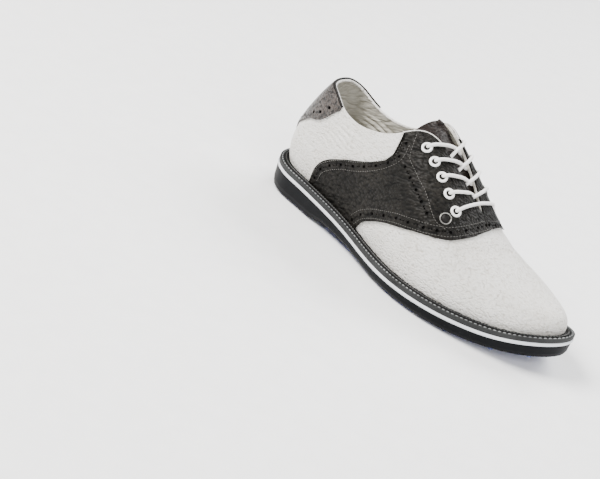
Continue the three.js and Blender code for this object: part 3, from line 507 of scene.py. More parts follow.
def placed_grid(columns, rows, place, outwards=True):
    """A grid whose points place(u, v) puts in the shoe, with u and v kept as its map."""
    bm = bmesh.new()
    bmesh.ops.create_grid(bm, x_segments=columns, y_segments=rows, size=0.5)
    bm.verts.index_update()
    marks = np.array([(v.co.x + 0.5, v.co.y + 0.5) for v in bm.verts])
    points = to_frame(place(marks[:, 0], marks[:, 1]))
    layer = bm.loops.layers.uv.new("UVMap")
    for face in bm.faces:
        for loop in face.loops:
            loop[layer].uv = marks[loop.vert.index]
    for vert, point in zip(bm.verts, points):
        vert.co = point
    bmesh.ops.remove_doubles(bm, verts=bm.verts, dist=SEAM_GAP * MM)
    if outwards:
        bmesh.ops.recalc_face_normals(bm, faces=bm.faces)
    return bm


def faces_along(bm, face_side):
    """Turns all faces over if most of them look against face_side(centre)."""
    bm.normal_update()
    score = sum(face.normal.dot(Vector(face_side(face.calc_center_median()))) for face in bm.faces)
    if score < 0:
        bmesh.ops.reverse_faces(bm, faces=bm.faces)


def from_axis(centre):
    """Outwards from a line along the middle of the shoe."""
    return (0, centre.y, centre.z - AXIS_HEIGHT * MM)


def sheet(name, columns, rows, place, material, replaces):
    """A sheet of leather placed by place(u, v), with its face outwards."""
    bm = placed_grid(columns, rows, place, outwards=False)
    faces_along(bm, from_axis)
    return piece_from(bm, name, material, replaces)


def walled(piece, thickness, bevel, segments=2):
    """Gives a sheet its wall, inwards from its face, and rounds its edges."""
    wall = piece.modifiers.new("wall", "SOLIDIFY")
    wall.thickness = thickness * MM
    wall.offset = -1
    wall.use_even_offset = False
    edge = piece.modifiers.new("edge", "BEVEL")
    edge.width = bevel * MM
    edge.segments = segments
    edge.limit_method = "ANGLE"
    edge.angle_limit = math.radians(50)
    return piece


def applied(piece):
    """Makes a piece's modifiers final."""
    graph = bpy.context.evaluated_depsgraph_get()
    final = bpy.data.meshes.new_from_object(piece.evaluated_get(graph))
    piece.modifiers.clear()
    piece.data = final


def tube(name, points, diameter, sides, material, replaces=()):
    """A round cord along points in millimetres, closed at both ends."""
    points = np.asarray(points, float)
    ahead = np.gradient(points, axis=0)
    ahead /= np.linalg.norm(ahead, axis=1, keepdims=True)
    across = np.zeros_like(points)
    across[0] = np.cross(ahead[0], (0.0, 0.0, 1.0) if abs(ahead[0][2]) < 0.9 else (0.0, 1.0, 0.0))
    across[0] /= np.linalg.norm(across[0])
    for i in range(1, len(points)):
        across[i] = across[i - 1] - ahead[i] * np.dot(across[i - 1], ahead[i])
        across[i] /= np.linalg.norm(across[i])
    second = np.cross(ahead, across)

    def place(u, v):
        ring = np.rint(v * (len(points) - 1)).astype(int)
        angle = 2 * np.pi * u
        offset = across[ring] * np.cos(angle)[:, None] + second[ring] * np.sin(angle)[:, None]
        return points[ring] + offset * diameter / 2

    bm = placed_grid(sides, len(points) - 1, place, outwards=False)
    ends = [edge for edge in bm.edges if edge.is_boundary]
    bmesh.ops.holes_fill(bm, edges=ends, sides=sides + 1)
    bmesh.ops.recalc_face_normals(bm, faces=bm.faces)
    return piece_from(bm, name, material, replaces)


PATH_DENSITY = 24


def smooth_path(points, steps):
    """A Catmull-Rom curve through points, evenly stepped."""
    p = np.asarray(points, float)
    p = np.concatenate([[2 * p[0] - p[1]], p, [2 * p[-1] - p[-2]]])
    dense = []
    for i in range(1, len(p) - 2):
        t = np.linspace(0, 1, PATH_DENSITY, endpoint=False)[:, None]
        dense.append(0.5 * (2 * p[i] + (p[i + 1] - p[i - 1]) * t
                            + (2 * p[i - 1] - 5 * p[i] + 4 * p[i + 1] - p[i + 2]) * t ** 2
                            + (3 * p[i] - p[i - 1] - 3 * p[i + 1] + p[i + 2]) * t ** 3))
    dense = np.concatenate(dense + [p[-2:-1]])
    length = np.concatenate([[0], np.cumsum(np.linalg.norm(np.diff(dense, axis=0), axis=1))])
    even = np.linspace(0, length[-1], steps + 1)
    return np.stack([np.interp(even, length, dense[:, k]) for k in range(3)], -1)


# Share of the columns that stand behind the throat's end
REAR_SHARE = 0.6


def around_side(u):
    """Side and turn of a place round the shoe: toe at 0, heel half way, toe again at 1."""
    around = np.abs(2 * u - 1)
    throat = turn_of(THROAT_END)
    front = (around - REAR_SHARE) / (1 - REAR_SHARE)
    turn = np.where(around < REAR_SHARE, around / REAR_SHARE * throat, throat + front * (1 - throat))
    return np.where(u > 0.5, MEDIAL, LATERAL), np.clip(turn, 0, 1)


# Creases are drawn on the upper laid flat, where a rib is about this long
RIB_LENGTH = 115
CREASE_STRENGTH = 1.5
CREASE_BOW = 1.6
CREASE_WAVE = 0.5
RIDGE_HEIGHT = 0.55
RIDGE_OFF = 2.1
# Side, from (station, share) to (station, share), half width, depth
CREASES = [
    (LATERAL, (0.130, 0.425), (0.262, 0.385), 1.1, 0.42),
    (LATERAL, (0.118, 0.395), (0.250, 0.362), 1.0, 0.36),
    (LATERAL, (0.140, 0.455), (0.290, 0.405), 1.1, 0.40),
    (LATERAL, (0.125, 0.365), (0.228, 0.338), 1.0, 0.34),
    (LATERAL, (0.165, 0.440), (0.300, 0.425), 1.0, 0.30),
    (LATERAL, (0.110, 0.335), (0.205, 0.305), 1.0, 0.30),
    (LATERAL, (0.095, 0.300), (0.185, 0.262), 1.0, 0.26),
    (LATERAL, (0.190, 0.475), (0.320, 0.460), 1.2, 0.26),
    (LATERAL, (0.080, 0.240), (0.168, 0.195), 1.2, 0.22),
    (MEDIAL, (0.130, 0.425), (0.262, 0.385), 1.1, 0.42),
    (MEDIAL, (0.118, 0.385), (0.245, 0.350), 1.0, 0.36),
    (MEDIAL, (0.145, 0.460), (0.290, 0.410), 1.1, 0.36),
    (MEDIAL, (0.110, 0.335), (0.205, 0.300), 1.0, 0.30),
    (MEDIAL, (0.090, 0.270), (0.180, 0.225), 1.2, 0.24),
    (LATERAL, (0.730, 0.96), (0.690, 0.56), 3.6, 0.28),
    (MEDIAL, (0.735, 0.96), (0.705, 0.56), 3.6, 0.28),
]


def crease_lift(sign, turn, share):
    """How far the creases press the leather in, or raise it beside them, in millimetres."""
    x, y = station_of(turn) * LENGTH, share * RIB_LENGTH
    lift = np.zeros(np.broadcast(x, y).shape)
    for side, start, end, width, depth in CREASES:
        a = np.array([start[0] * LENGTH, start[1] * RIB_LENGTH])
        way = np.array([end[0] * LENGTH, end[1] * RIB_LENGTH]) - a
        along = ((x - a[0]) * way[0] + (y - a[1]) * way[1]) / way.dot(way)
        wave = CREASE_WAVE * np.sin(7.5 * along + 40 * start[0])
        bow = CREASE_BOW * np.sin(np.pi * np.clip(along, 0, 1)) + wave
        off = ((x - a[0]) * way[1] - (y - a[1]) * way[0]) / np.linalg.norm(way) + bow
        fade = smooth_step(along, -0.15, 0.25) * (1 - smooth_step(along, 0.70, 1.15))
        beside = np.exp(-((np.abs(off) - RIDGE_OFF * width) / width) ** 2)
        trough = np.exp(-(off / width) ** 2) - RIDGE_HEIGHT * beside
        lift = lift - np.where(sign == side, CREASE_STRENGTH * depth * fade * trough, 0)
    return lift


def upper_place(lift):
    def place(u, v):
        sign, turn = around_side(u)
        share = v * top_edge(sign, station_of(turn))
        return skin(sign, turn, share, lift + crease_lift(sign, turn, share))
    return place


# Upper: the white outer leather, and the lining glued inside it
UPPER_COLUMNS, UPPER_ROWS = 400, 96
SKIN_WALL = UPPER_WALL - LINING_WALL
GLUE_LINE = 0.05

walled(sheet("upper_skin", UPPER_COLUMNS, UPPER_ROWS, upper_place(0), white_leather,
             ["upper"]), SKIN_WALL, bevel=0.3)
walled(sheet("lining", UPPER_COLUMNS, UPPER_ROWS, upper_place(-SKIN_WALL - GLUE_LINE), lining_leather,
             ["upper"]), LINING_WALL - GLUE_LINE, bevel=0.25)

# Saddle: stretches of its outer edge, each a weight and rows of outer station, outer share,
# inner station and inner share of the top edge
SADDLE_STRETCHES = [
    (7, [[0.166, 0, 0.166, 0.03], [0.178, 0, 0.174, 0.25], [0.215, 0, 0.205, 0.44],
         [0.270, 0, 0.262, 0.585], [0.325, 0, 0.325, 0.665], [0.373, 0, 0.378, 0.695]]),
    (4, [[0.373, 0, 0.378, 0.695], [0.388, 0.070, 0.392, 0.78], [0.410, 0.115, 0.388, 0.88],
         [0.440, 0.162, 0.380, 1]]),
    (12, [[0.440, 0.162, 0.380, 1], [0.485, 0.216, 0.402, 1], [0.530, 0.267, 0.430, 1],
          [0.584, 0.351, 0.484, 1], [0.626, 0.443, 0.535, 1], [0.648, 0.515, 0.575, 1],
          [0.664, 0.601, 0.610, 1], [0.677, 0.756, 0.630, 1], [0.678, 0.878, 0.640, 1],
          [0.675, 1, THROAT_END, 1]]),
]


def saddle_edges(along):
    """Outer station and share, inner station and share, at a place along the saddle from 0 to 1."""
    total = sum(weight for weight, _ in SADDLE_STRETCHES)
    place, start, found = along * total, 0, None
    for weight, rows in SADDLE_STRETCHES:
        table = sections(range(4), [[i, *row] for i, row in enumerate(rows)])
        local = (place - start) / weight * (len(rows) - 1)
        values = np.stack([table[k](local) for k in range(4)])
        found = values if found is None else np.where(place > start, values, found)
        start += weight
    return found


def saddle_place(lift):
    def place(u, v):
        sign = np.where(u > 0.5, MEDIAL, LATERAL)
        outer_at, outer_share, inner_at, inner_share = saddle_edges(1 - np.abs(2 * u - 1))
        near = np.clip((outer_share - MEDIAL_FRONT_FROM) / (1 - MEDIAL_FRONT_FROM), 0, 1)
        outer_at = outer_at - np.where(sign == MEDIAL, MEDIAL_FRONT_BACK * np.sin(np.pi * near), 0)
        top = inner_share * top_edge(sign, inner_at)
        at, share = outer_at + (inner_at - outer_at) * v, outer_share + (top - outer_share) * v
        return skin(sign, turn_of(at), share, lift + crease_lift(sign, turn_of(at), share))
    return place


# On the inner side the front edge stands a little further back, above this share of a rib
MEDIAL_FRONT_BACK = 0.013
MEDIAL_FRONT_FROM = 0.45
SADDLE_COLUMNS, SADDLE_ROWS = 322, 48

saddle = walled(sheet("saddle_leather", SADDLE_COLUMNS, SADDLE_ROWS, saddle_place(OVERLAY_TOP), dark_leather,
                      ["saddle"]), OVERLAY_TOP - OVERLAY_FOOT, bevel=0.5, segments=3)

# Heel patch round the back of the collar: its end, and its lower edge as a share of the top edge
PATCH_END = 0.164
PATCH_LOWER = curve([0, 0.018, 0.054, 0.088, 0.126, 0.137, 0.148, PATCH_END],
                    [0.377, 0.400, 0.502, 0.588, 0.684, 0.753, 0.843, 0.960])


def patch_place(u, v):
    across = 2 * u - 1
    sign = np.where(across < 0, LATERAL, MEDIAL)
    turn = turn_of(PATCH_END) * np.abs(across)
    at = station_of(turn)
    lower = PATCH_LOWER(at)
    return skin(sign, turn, top_edge(sign, at) * (lower + (1 - lower) * v), OVERLAY_TOP)


patch = walled(sheet("heel_patch_leather", 120, 30, patch_place, pewter_leather,
                     ["heel_patch"]), OVERLAY_TOP - OVERLAY_FOOT, bevel=0.45, segments=3)

# Strip down the back seam: it widens evenly, flares into the patch and has a fine groove along its middle
BACK_STRIP_WIDTH = 17
STRIP_WIDENING = 0.12
STRIP_FLARE = 2.0
STRIP_LAP = 0.012
STRIP_UNDER_PATCH = 0.1
GROOVE_DEPTH, GROOVE_HALF = 0.25, 0.5


def strip_place(u, v):
    share = (PATCH_LOWER(0.0) * top_edge(LATERAL, 0.0) + STRIP_LAP) * v
    step = 1e-3
    offset = (u - 0.5) * BACK_STRIP_WIDTH * (1 + STRIP_WIDENING * v + STRIP_FLARE * v ** 3)
    turn = np.abs(offset) * step / last_point(MEDIAL, step, share)[..., 1]
    groove = GROOVE_DEPTH * np.exp(-(offset / GROOVE_HALF) ** 2)
    return skin(np.where(offset < 0, LATERAL, MEDIAL), turn, share, OVERLAY_TOP - STRIP_UNDER_PATCH - groove)


walled(sheet("back_strip_leather", 40, 50, strip_place, pewter_leather, ["back_strip"]),
       OVERLAY_TOP - OVERLAY_FOOT - STRIP_UNDER_PATCH, bevel=0.4)


def collar_line(ends, lift, rise, steps=120):
    """Points along the collar's top edge from the outer side round the heel to the inner side."""
    points = []
    for step in range(-steps, steps + 1):
        side = LATERAL if step < 0 else MEDIAL
        turn = turn_of(ends[side]) * abs(step) / steps
        top = top_edge(side, station_of(turn))
        edge = skin(side, turn, top, lift)
        up = edge - skin(side, turn, top - 0.01, lift)
        points.append(edge + up / np.linalg.norm(up) * rise)
    return points


# Dark rolled edge over the back of the collar, and the white binding inside it all round:
# ends by station, lift off the outer face, rise over the top edge, then the diameter
tube("collar_roll", collar_line({LATERAL: 0.163, MEDIAL: 0.175}, 0.35, 0.75), 2.0, 12, edge_leather,
     ["collar_piping"])
tube("collar_binding", collar_line({LATERAL: 0.395, MEDIAL: 0.395}, -1.25, 0.15), 2.3, 12, white_leather,
     ["collar_piping"])

# Pale edge of the facings' lining, along the top of the throat
SIDES = ((LATERAL, "lateral"), (MEDIAL, "medial"))
for side, word in SIDES:
    places = np.linspace(0.374, 0.470, 60)
    edge_points = skin(side, turn_of(places), top_edge(side, places) + 0.006, 0.55)
    tube(f"facing_edge_{word}", edge_points, 1.5, 10, white_leather)

# Tongue under both facings: shares of its outer and inner edges, and how far it hangs, by station
TONGUE = sections(("lateral", "medial", "hang"), [
    [0.38, 0.740, 0.800, 2.5],
    [0.43, 0.690, 0.760, 3.5],
    [0.50, 0.700, 0.780, 2.5],
    [0.58, 0.760, 0.800, 1.0],
    [0.69, 0.860, 0.860, 0.0],
])
TONGUE_START = 0.69
TONGUE_TOP = curve([-1, -0.55, 0, 0.55, 1], [0.389, 0.397, 0.402, 0.402, 0.412])


# Cross wrinkles: height, number along, slant, phase, and where they set in and are full
TONGUE_WAVES = ((0.35, 46, 2.2, 0, 0.55, 0.85), (0.45, 23, -1.5, 1, 0.62, 0.95))
TONGUE_DROP = 1.4


def tongue_place(u, v):
    across = 2 * u - 1
    top = TONGUE_TOP(across)
    at = TONGUE_START + (top - TONGUE_START) * v
    sign = np.where(across < 0, LATERAL, MEDIAL)
    edge = np.where(across < 0, TONGUE["lateral"](at), TONGUE["medial"](at))
    share = 1 + (edge - 1) * np.abs(across)
    hang = TONGUE["hang"](at) * smooth_step(across, -0.6, 0.6)
    wave = sum(height * np.sin(v * number + slant * across + phase) * smooth_step(v, start, full)
               for height, number, slant, phase, start, full in TONGUE_WAVES)
    return skin(sign, turn_of(at), share, -UPPER_WALL - TONGUE_DROP - 0.45 * hang + wave)


walled(sheet("tongue_leather", 60, 90, tongue_place, tongue_hide, ["tongue"]),
       TONGUE_THICKNESS - 0.4, bevel=0.7, segments=3)


def ring_round_sole(name, profile, material, replaces):
    """A strip round the shoe: profile rows are the inset from the outline and the depth under the foot."""
    insets, depths = np.array(profile, float).T
    rows = len(profile) - 1

    def place(u, v):
        sign, turn = around_side(u)
        k = np.rint(v * rows).astype(int)
        flat = outline(sign, turn, -insets[k])
        return np.concatenate([flat, (foot_height(flat[..., 0]) - depths[k])[..., None]], -1)

    bm = placed_grid(UPPER_COLUMNS, rows, place)
    piece = piece_from(bm, name, material, replaces)
    piece.data.set_sharp_from_angle(angle=math.radians(38))
    return piece


# Profiles of the strips round the sole: the welt with its stitch groove, the bead against the upper,
# and the white line
WELT_INSIDE = WELT_SHELF + UPPER_WALL + 4
ring_round_sole("welt_band", [
    [0.35, WELT_BOTTOM], [0.05, WELT_BOTTOM - 0.2], [0.0, WELT_BOTTOM - 0.5], [0.0, 0.9], [0.08, 0.55],
    [0.35, 0.33], [0.8, WELT_TOP], [1.25, 0.30], [1.45, 0.55], [2.15, 0.55], [2.35, 0.30],
    [2.9, 0.28], [3.3, 0.36], [3.55, 0.62], [3.65, 1.4], [3.65, WELT_BOTTOM], [0.35, WELT_BOTTOM],
], welt_rubber, ["welt"])
ring_round_sole("welt_bead", [
    [3.65, WELT_BOTTOM - 0.05], [3.65, 1.1], [3.9, 0.9], [3.98, 0.1], [4.2, -0.45], [4.6, -0.78], [5.0, -0.8],
    [5.4, -0.55], [5.65, 0.0], [5.8, 0.5], [WELT_INSIDE, 0.5], [WELT_INSIDE, WELT_BOTTOM - 0.05],
    [3.65, WELT_BOTTOM - 0.05],
], inner_welt_rubber, ["welt"])
ring_round_sole("midsole_line", [
    [0.15, MIDSOLE_BOTTOM + 0.2], [-0.25, MIDSOLE_BOTTOM - 0.25], [-0.5, (MIDSOLE_TOP + MIDSOLE_BOTTOM) / 2],
    [-0.25, MIDSOLE_TOP + 0.1], [0.15, WELT_BOTTOM], [20, WELT_BOTTOM], [20, MIDSOLE_BOTTOM + 0.2],
    [0.15, MIDSOLE_BOTTOM + 0.2],
], white_rubber, ["midsole"])


STUD_FROM = 0.25


def dressed_copy(name, material, bevel, studs=None):
    """A copy of a frame node with merged corners, rounded edges and smooth sides."""
    bm = bmesh.new()
    bm.from_mesh(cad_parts[name].data)
    bmesh.ops.remove_doubles(bm, verts=bm.verts, dist=0.005 * MM)
    bmesh.ops.dissolve_limit(bm, angle_limit=math.radians(0.5), verts=bm.verts, edges=bm.edges)
    piece = piece_from(bm, name + "_rubber", material, [name])
    piece.data.set_sharp_from_angle(angle=math.radians(30))
    if studs:
        piece.data.materials.append(studs)
        for face in piece.data.polygons:
            x, _, z = np.array(face.center) / MM - SHIFT
            face.material_index = int(z < tread_height(x) - STUD_FROM)
    edge = piece.modifiers.new("edge", "BEVEL")
    edge.width = bevel * MM
    edge.segments = 3
    edge.limit_method = "ANGLE"
    edge.angle_limit = math.radians(35)
    return piece


# The sole's shell, its treads and the insole: the frame's own solids with softened edges
dressed_copy("outsole", black_rubber, 0.9)
dressed_copy("tread_heel", blue_rubber, 0.35, stud_rubber)
dressed_copy("tread_forefoot", blue_rubber, 0.35, stud_rubber)
dressed_copy("insole", footbed, 0.6)

# Eyelets: five rings either side of the throat, between two stations, at one share on each side
EYELET_SEAT = OVERLAY_TOP + 0.05
EYELET_TOP = 0.85
EYELET_ROWS = 5
EYELET_FIRST, EYELET_LAST = 0.4526, 0.6133
EYELETS = {LATERAL: 0.715, MEDIAL: 0.700}


def eyelet_station(row):
    return EYELET_FIRST + (EYELET_LAST - EYELET_FIRST) * row / (EYELET_ROWS - 1)


def spun_piece(name, profile, segments, seat, normal, material, replaces=()):
    """A turned part: profile rows are radius and height over its seat."""
    radii, heights = np.array(profile, float).T
    rows = len(profile) - 1
    side = np.cross(normal, (1.0, 0.0, 0.0))
    side /= np.linalg.norm(side)
    other = np.cross(normal, side)

    def place(u, v):
        k = np.rint(v * rows).astype(int)
        angle = 2 * np.pi * u
        flat = side * np.cos(angle)[:, None] + other * np.sin(angle)[:, None]
        return seat + flat * radii[k][:, None] + normal * heights[k][:, None]

    return piece_from(placed_grid(segments, rows, place), name, material, replaces)


RIM, HOLE = EYELET_DIAMETER / 2, EYELET_HOLE / 2
EYELET_PROFILE = [[HOLE, -3.2], [HOLE, 0.3], [HOLE + 0.18, 0.62], [HOLE + 0.6, EYELET_TOP - 0.05],
                  [HOLE + 1.1, EYELET_TOP], [RIM - 0.7, 0.66], [RIM - 0.2, 0.38], [RIM, 0.05],
                  [RIM - 0.1, -0.1], [HOLE + 0.3, -0.1], [HOLE + 0.3, -3.2], [HOLE, -3.2]]
for row in range(EYELET_ROWS):
    for side, word in SIDES:
        turn = turn_of(eyelet_station(row))
        spun_piece(f"ring_{word}_{row + 1}", EYELET_PROFILE, 28, skin(side, turn, EYELETS[side], EYELET_SEAT),
                   last_normal(side, turn, EYELETS[side]), enamel, [f"eyelet_{word}_{row + 1}"])

# Laces: each strand rises through an eyelet, crosses the throat, dives under the far facing
# and comes up below the next eyelet. Their height over the upper, by the way across
LACE_LIFTS = {
    "under": curve([0, 0.14, 0.32, 0.50, 0.65, 0.80, 1], [2.0, 3.5, 3.1, 2.5, 1.2, -0.9, -3.4]),
    "over": curve([0, 0.14, 0.32, 0.55, 0.70, 0.85, 1], [2.0, 3.5, 3.0, 3.1, 2.4, 0.5, -2.8]),
    "bar": curve([0, 0.14, 0.32, 0.68, 0.86, 1], [2.0, 3.5, 3.0, 3.0, 3.5, 2.0]),
}
# How far a strand bows to the toe, its place in the hole, its room at the facing's edge,
# and where each row dives on either side, in steps from eyelet to eyelet
LACE_BOWS = {"under": 0.004, "over": 0.002, "bar": 0.004}
LACE_OFF_CENTRE = 0.012
LACE_EDGE_ROOM = 0.018
LACE_DIVES = {LATERAL: [1.28, 1.15, 1.0, 0.72], MEDIAL: [1.2, 1.1, 0.95, 0.55]}
LACE_PITCH = eyelet_station(1) - eyelet_station(0)
UNDER_FACING = -UPPER_WALL - LACE_DIAMETER / 2 - 0.1


def throat_point(at, across, lift):
    return skin(LATERAL if across < 0 else MEDIAL, turn_of(at), 1 - abs(across), lift)


def strand_points(side, row, kind):
    start_at, start_across = eyelet_station(row), side * (1 - EYELETS[side] - LACE_OFF_CENTRE)
    if kind == "bar":
        end_at, end_across = start_at, -side * (1 - EYELETS[-side] - LACE_OFF_CENTRE)
    else:
        end_at = eyelet_station(row) + LACE_DIVES[-side][row] * LACE_PITCH
        end_across = -side * (1 - float(top_edge(-side, end_at)) - LACE_EDGE_ROOM)
    points = [throat_point(start_at, start_across, lift) for lift in (UNDER_FACING, -0.8, 1.0)]
    for along in np.linspace(0, 1, 9):
        at, across = start_at + (end_at - start_at) * along, start_across + (end_across - start_across) * along
        at += LACE_BOWS[kind] * math.sin(math.pi * along)
        points.append(throat_point(at, across, float(LACE_LIFTS[kind](along))))
    if kind == "bar":
        return points + [throat_point(end_at, end_across, lift) for lift in (1.0, -0.8, UNDER_FACING)]
    next_at, next_across = eyelet_station(row + 1), -side * (1 - EYELETS[-side] - LACE_OFF_CENTRE)
    for along, lift in ((0.25, UNDER_FACING + 0.3), (0.55, UNDER_FACING), (0.9, UNDER_FACING)):
        points.append(throat_point(end_at + (next_at - end_at) * along,
                                   end_across + (next_across - end_across) * along, lift))
    return points


def lace(name, points, replaces):
    tube(name, smooth_path(points, 72), LACE_DIAMETER, 14, lace_cotton, replaces)


for row in range(EYELET_ROWS - 1):
    for side, word, kind in ((LATERAL, "lateral", "under"), (MEDIAL, "medial", "over")):
        lace(f"lace_strand_{word}_{row + 1}", strand_points(side, row, kind), [f"lace_crossing_{row + 1}"])
lace("lace_bottom_bar", strand_points(LATERAL, EYELET_ROWS - 1, "bar"), ["lace_bar"])


# Rows of holes, seams and stitches, as places of station and share
HOLES_REAR = [(.182, .062), (.192, .146), (.218, .210), (.253, .263), (.293, .303), (.326, .343),
              (.359, .393), (.388, .455), (.407, .529), (.402, .619)]
HOLES_FRONT = [(.357, .038), (.379, .110), (.416, .174), (.456, .224), (.498, .277), (.539, .327),
               (.585, .401), (.618, .487), (.644, .593), (.659, .737), (.664, .872), (.663, .980)]
HOLES_EYESTAY = [(.440, .517), (.471, .503), (.506, .495), (.538, .485), (.569, .479)]
HOLES_PATCH = [(.018, .318), (.045, .359), (.083, .429), (.109, .463), (.130, .523)]


def seam_line(side, places, lift, steps, offset=0.0):
    """Points and normals along places on the upper, moved sideways by an offset in millimetres."""
    places = np.array([(s, w, 0.0) for s, w in places])
    scaled_places = places * (LENGTH, RIB_LENGTH, 1)
    line = smooth_path(scaled_places, steps)
    turn, share = turn_of(line[:, 0] / LENGTH), line[:, 1] / RIB_LENGTH
    points = skin(side, turn, share, lift + crease_lift(side, turn, share))
    normals = last_normal(side, turn, share)
    ahead = np.gradient(points, axis=0)
    across = np.cross(normals, ahead)
    across /= np.linalg.norm(across, axis=1, keepdims=True)
    return points + across * offset * -side, normals


def even_marks(points, normals, pitch):
    """Points, normals and directions at even steps along a line."""
    length = np.concatenate([[0], np.cumsum(np.linalg.norm(np.diff(points, axis=0), axis=1))])
    count = max(2, int(round(length[-1] / pitch)))
    marks = (np.arange(count) + 0.5) * length[-1] / count
    ahead = np.gradient(points, axis=0)
    return [np.stack([np.interp(marks, length, part[:, k]) for k in range(3)], -1)
            for part in (points, normals, ahead)]


def thread_runs(name, lines, pitch, run, diameter, material):
    """Stitches: short runs of thread that lie along lines of points and normals."""
    bm = bmesh.new()
    for points, normals in lines:
        for point, up, ahead in zip(*even_marks(points, normals, pitch)):
            x = Vector(ahead).normalized()
            z = Vector(up).normalized()
            y = z.cross(x).normalized()
            turned = Matrix((x, y, x.cross(y))).transposed().to_4x4()
            size = Matrix.Diagonal((run / 2 * MM, diameter / 2 * MM, diameter / 2 * MM, 1))
            matrix = Matrix.Translation(to_frame(point)) @ turned @ size
            bmesh.ops.create_uvsphere(bm, u_segments=6, v_segments=4, radius=1, matrix=matrix)
    return piece_from(bm, name, material)


# Stitches either side of the hole rows, one seam by the eyestay and one along the patch's lower edge
SEAM_LIFT = OVERLAY_TOP + 0.12
SEAM_OFFSET = 3.6
SEAM_EYESTAY = [(.408, .713), (.431, .593), (.447, .567), (.495, .551), (.536, .545), (.595, .513),
                (.632, .560)]
SEAM_PATCH = [(.000, .287), (.018, .302), (.054, .364), (.088, .410), (.126, .454), (.140, .507), (.150, .557)]
saddle_lines = []
for side in (LATERAL, MEDIAL):
    for places in (HOLES_REAR, HOLES_FRONT):
        for offset in (-SEAM_OFFSET, SEAM_OFFSET):
            saddle_lines.append(seam_line(side, places, SEAM_LIFT, 160, offset))
    saddle_lines.append(seam_line(side, SEAM_EYESTAY, SEAM_LIFT, 120))
thread_runs("saddle_stitches", saddle_lines, 2.4, 1.9, 0.55, dark_thread)


def sole_line(inset, depth):
    """Points and normals of a line round the sole's edge."""
    steps = 900
    sign, turn = around_side(np.linspace(0, 1, steps))
    flat = outline(sign, turn, -inset)
    points = np.concatenate([flat, (foot_height(flat[:, 0]) - depth)[:, None]], -1)
    return points, np.tile([0.0, 0.0, 1.0], (steps, 1))


thread_runs("welt_stitches", [sole_line(1.8, 0.30)], 3.8, 2.7, 1.15, pale_thread)
thread_runs("bead_stitches", [sole_line(4.8, -0.72)], 2.5, 1.8, 0.75, grey_thread)
thread_runs("patch_stitches", [seam_line(side, SEAM_PATCH, SEAM_LIFT, 90) for side in (LATERAL, MEDIAL)],
            2.3, 1.8, 0.5, dark_thread)


def pegs(places, radii, segments, depth, sunk):
    """Short round pegs on the upper: places are points and normals, and sunk is how far under them."""
    bm = bmesh.new()
    for (point, normal), size in zip(places, radii):
        turned = Vector(normal).to_track_quat("Z", "Y").to_matrix().to_4x4()
        seat = Matrix.Translation(to_frame(point - normal * sunk))
        bmesh.ops.create_cone(bm, cap_ends=True, segments=segments, radius1=size * MM, radius2=size * MM,
                              depth=depth * MM, matrix=seat @ turned)
    return bm


def drilled(piece, places, radii):
    """Cuts round holes through a piece."""
    bm = pegs(places, radii, 14, PUNCH_LENGTH, 0)
    mesh = bpy.data.meshes.new(piece.name + "_holes")
    bm.to_mesh(mesh)
    bm.free()
    cutter = bpy.data.objects.new(mesh.name, mesh)
    bpy.context.scene.collection.objects.link(cutter)
    cut = piece.modifiers.new("holes", "BOOLEAN")
    cut.operation = "DIFFERENCE"
    cut.solver = "MANIFOLD"
    cut.object = cutter
    applied(piece)
    bpy.data.objects.remove(cutter)
    piece.data.set_sharp_from_angle(angle=math.radians(40))


def hole_places(side, places):
    """Points and normals of holes on the face of an overlay."""
    return [(skin(side, turn_of(s), w, OVERLAY_TOP), last_normal(side, turn_of(s), w)) for s, w in places]


def between(places):
    """Two small holes between each pair of big ones."""
    return [(s0 + (s1 - s0) * share, w0 + (w1 - w0) * share)
            for (s0, w0), (s1, w1) in zip(places, places[1:]) for share in (0.40, 0.60)]


def hole_shade_discs(name, places, radii):
    """Painted shade: dark discs that close punched holes below, a little wider than the holes."""
    piece_from(pegs(places, radii, 10, DISC_THICKNESS, OVERLAY_TOP - DISC_HEIGHT), name, hole_shade,
               smooth=False)


# Radii of the punched holes, and how far their painted-shade discs reach under the edge
BIG_HOLE, SMALL_HOLE = 1.4, 0.7
BIG_LAP, SMALL_LAP = 0.5, 0.4
PUNCH_LENGTH = 6
DISC_THICKNESS, DISC_HEIGHT = 0.3, 0.35
big, small = [], []
for side in (LATERAL, MEDIAL):
    for places in (HOLES_REAR, HOLES_FRONT, HOLES_EYESTAY):
        big += hole_places(side, places)
        small += hole_places(side, between(places))
drilled(saddle, big + small, [BIG_HOLE] * len(big) + [SMALL_HOLE] * len(small))
hole_shade_discs("saddle_hole_shade_discs", big + small,
            [BIG_HOLE + BIG_LAP] * len(big) + [SMALL_HOLE + SMALL_LAP] * len(small))
patch_holes = hole_places(LATERAL, HOLES_PATCH) + hole_places(MEDIAL, HOLES_PATCH)
drilled(patch, patch_holes, [BIG_HOLE] * len(patch_holes))
hole_shade_discs("patch_hole_shade_discs", patch_holes, [BIG_HOLE + BIG_LAP] * len(patch_holes))

# Plain round badge by the lowest eyelet: a dark disc with a nickel rim
BADGE_STATION, BADGE_SHARE = 0.612, 0.601
badge_turn = turn_of(BADGE_STATION)
badge_seat = skin(LATERAL, badge_turn, BADGE_SHARE, OVERLAY_TOP)
badge_normal = last_normal(LATERAL, badge_turn, BADGE_SHARE)
spun_piece("badge_disc", [[0.0, -0.5], [3.9, -0.5], [3.9, 0.35], [0.0, 0.45]], 36, badge_seat, badge_normal,
           edge_leather)
spun_piece("badge_rim", [[3.9, -0.5], [4.7, -0.5], [4.7, 0.4], [4.5, 0.7], [4.1, 0.7], [3.9, 0.4], [3.9, -0.5]],
           36, badge_seat, badge_normal, nickel)

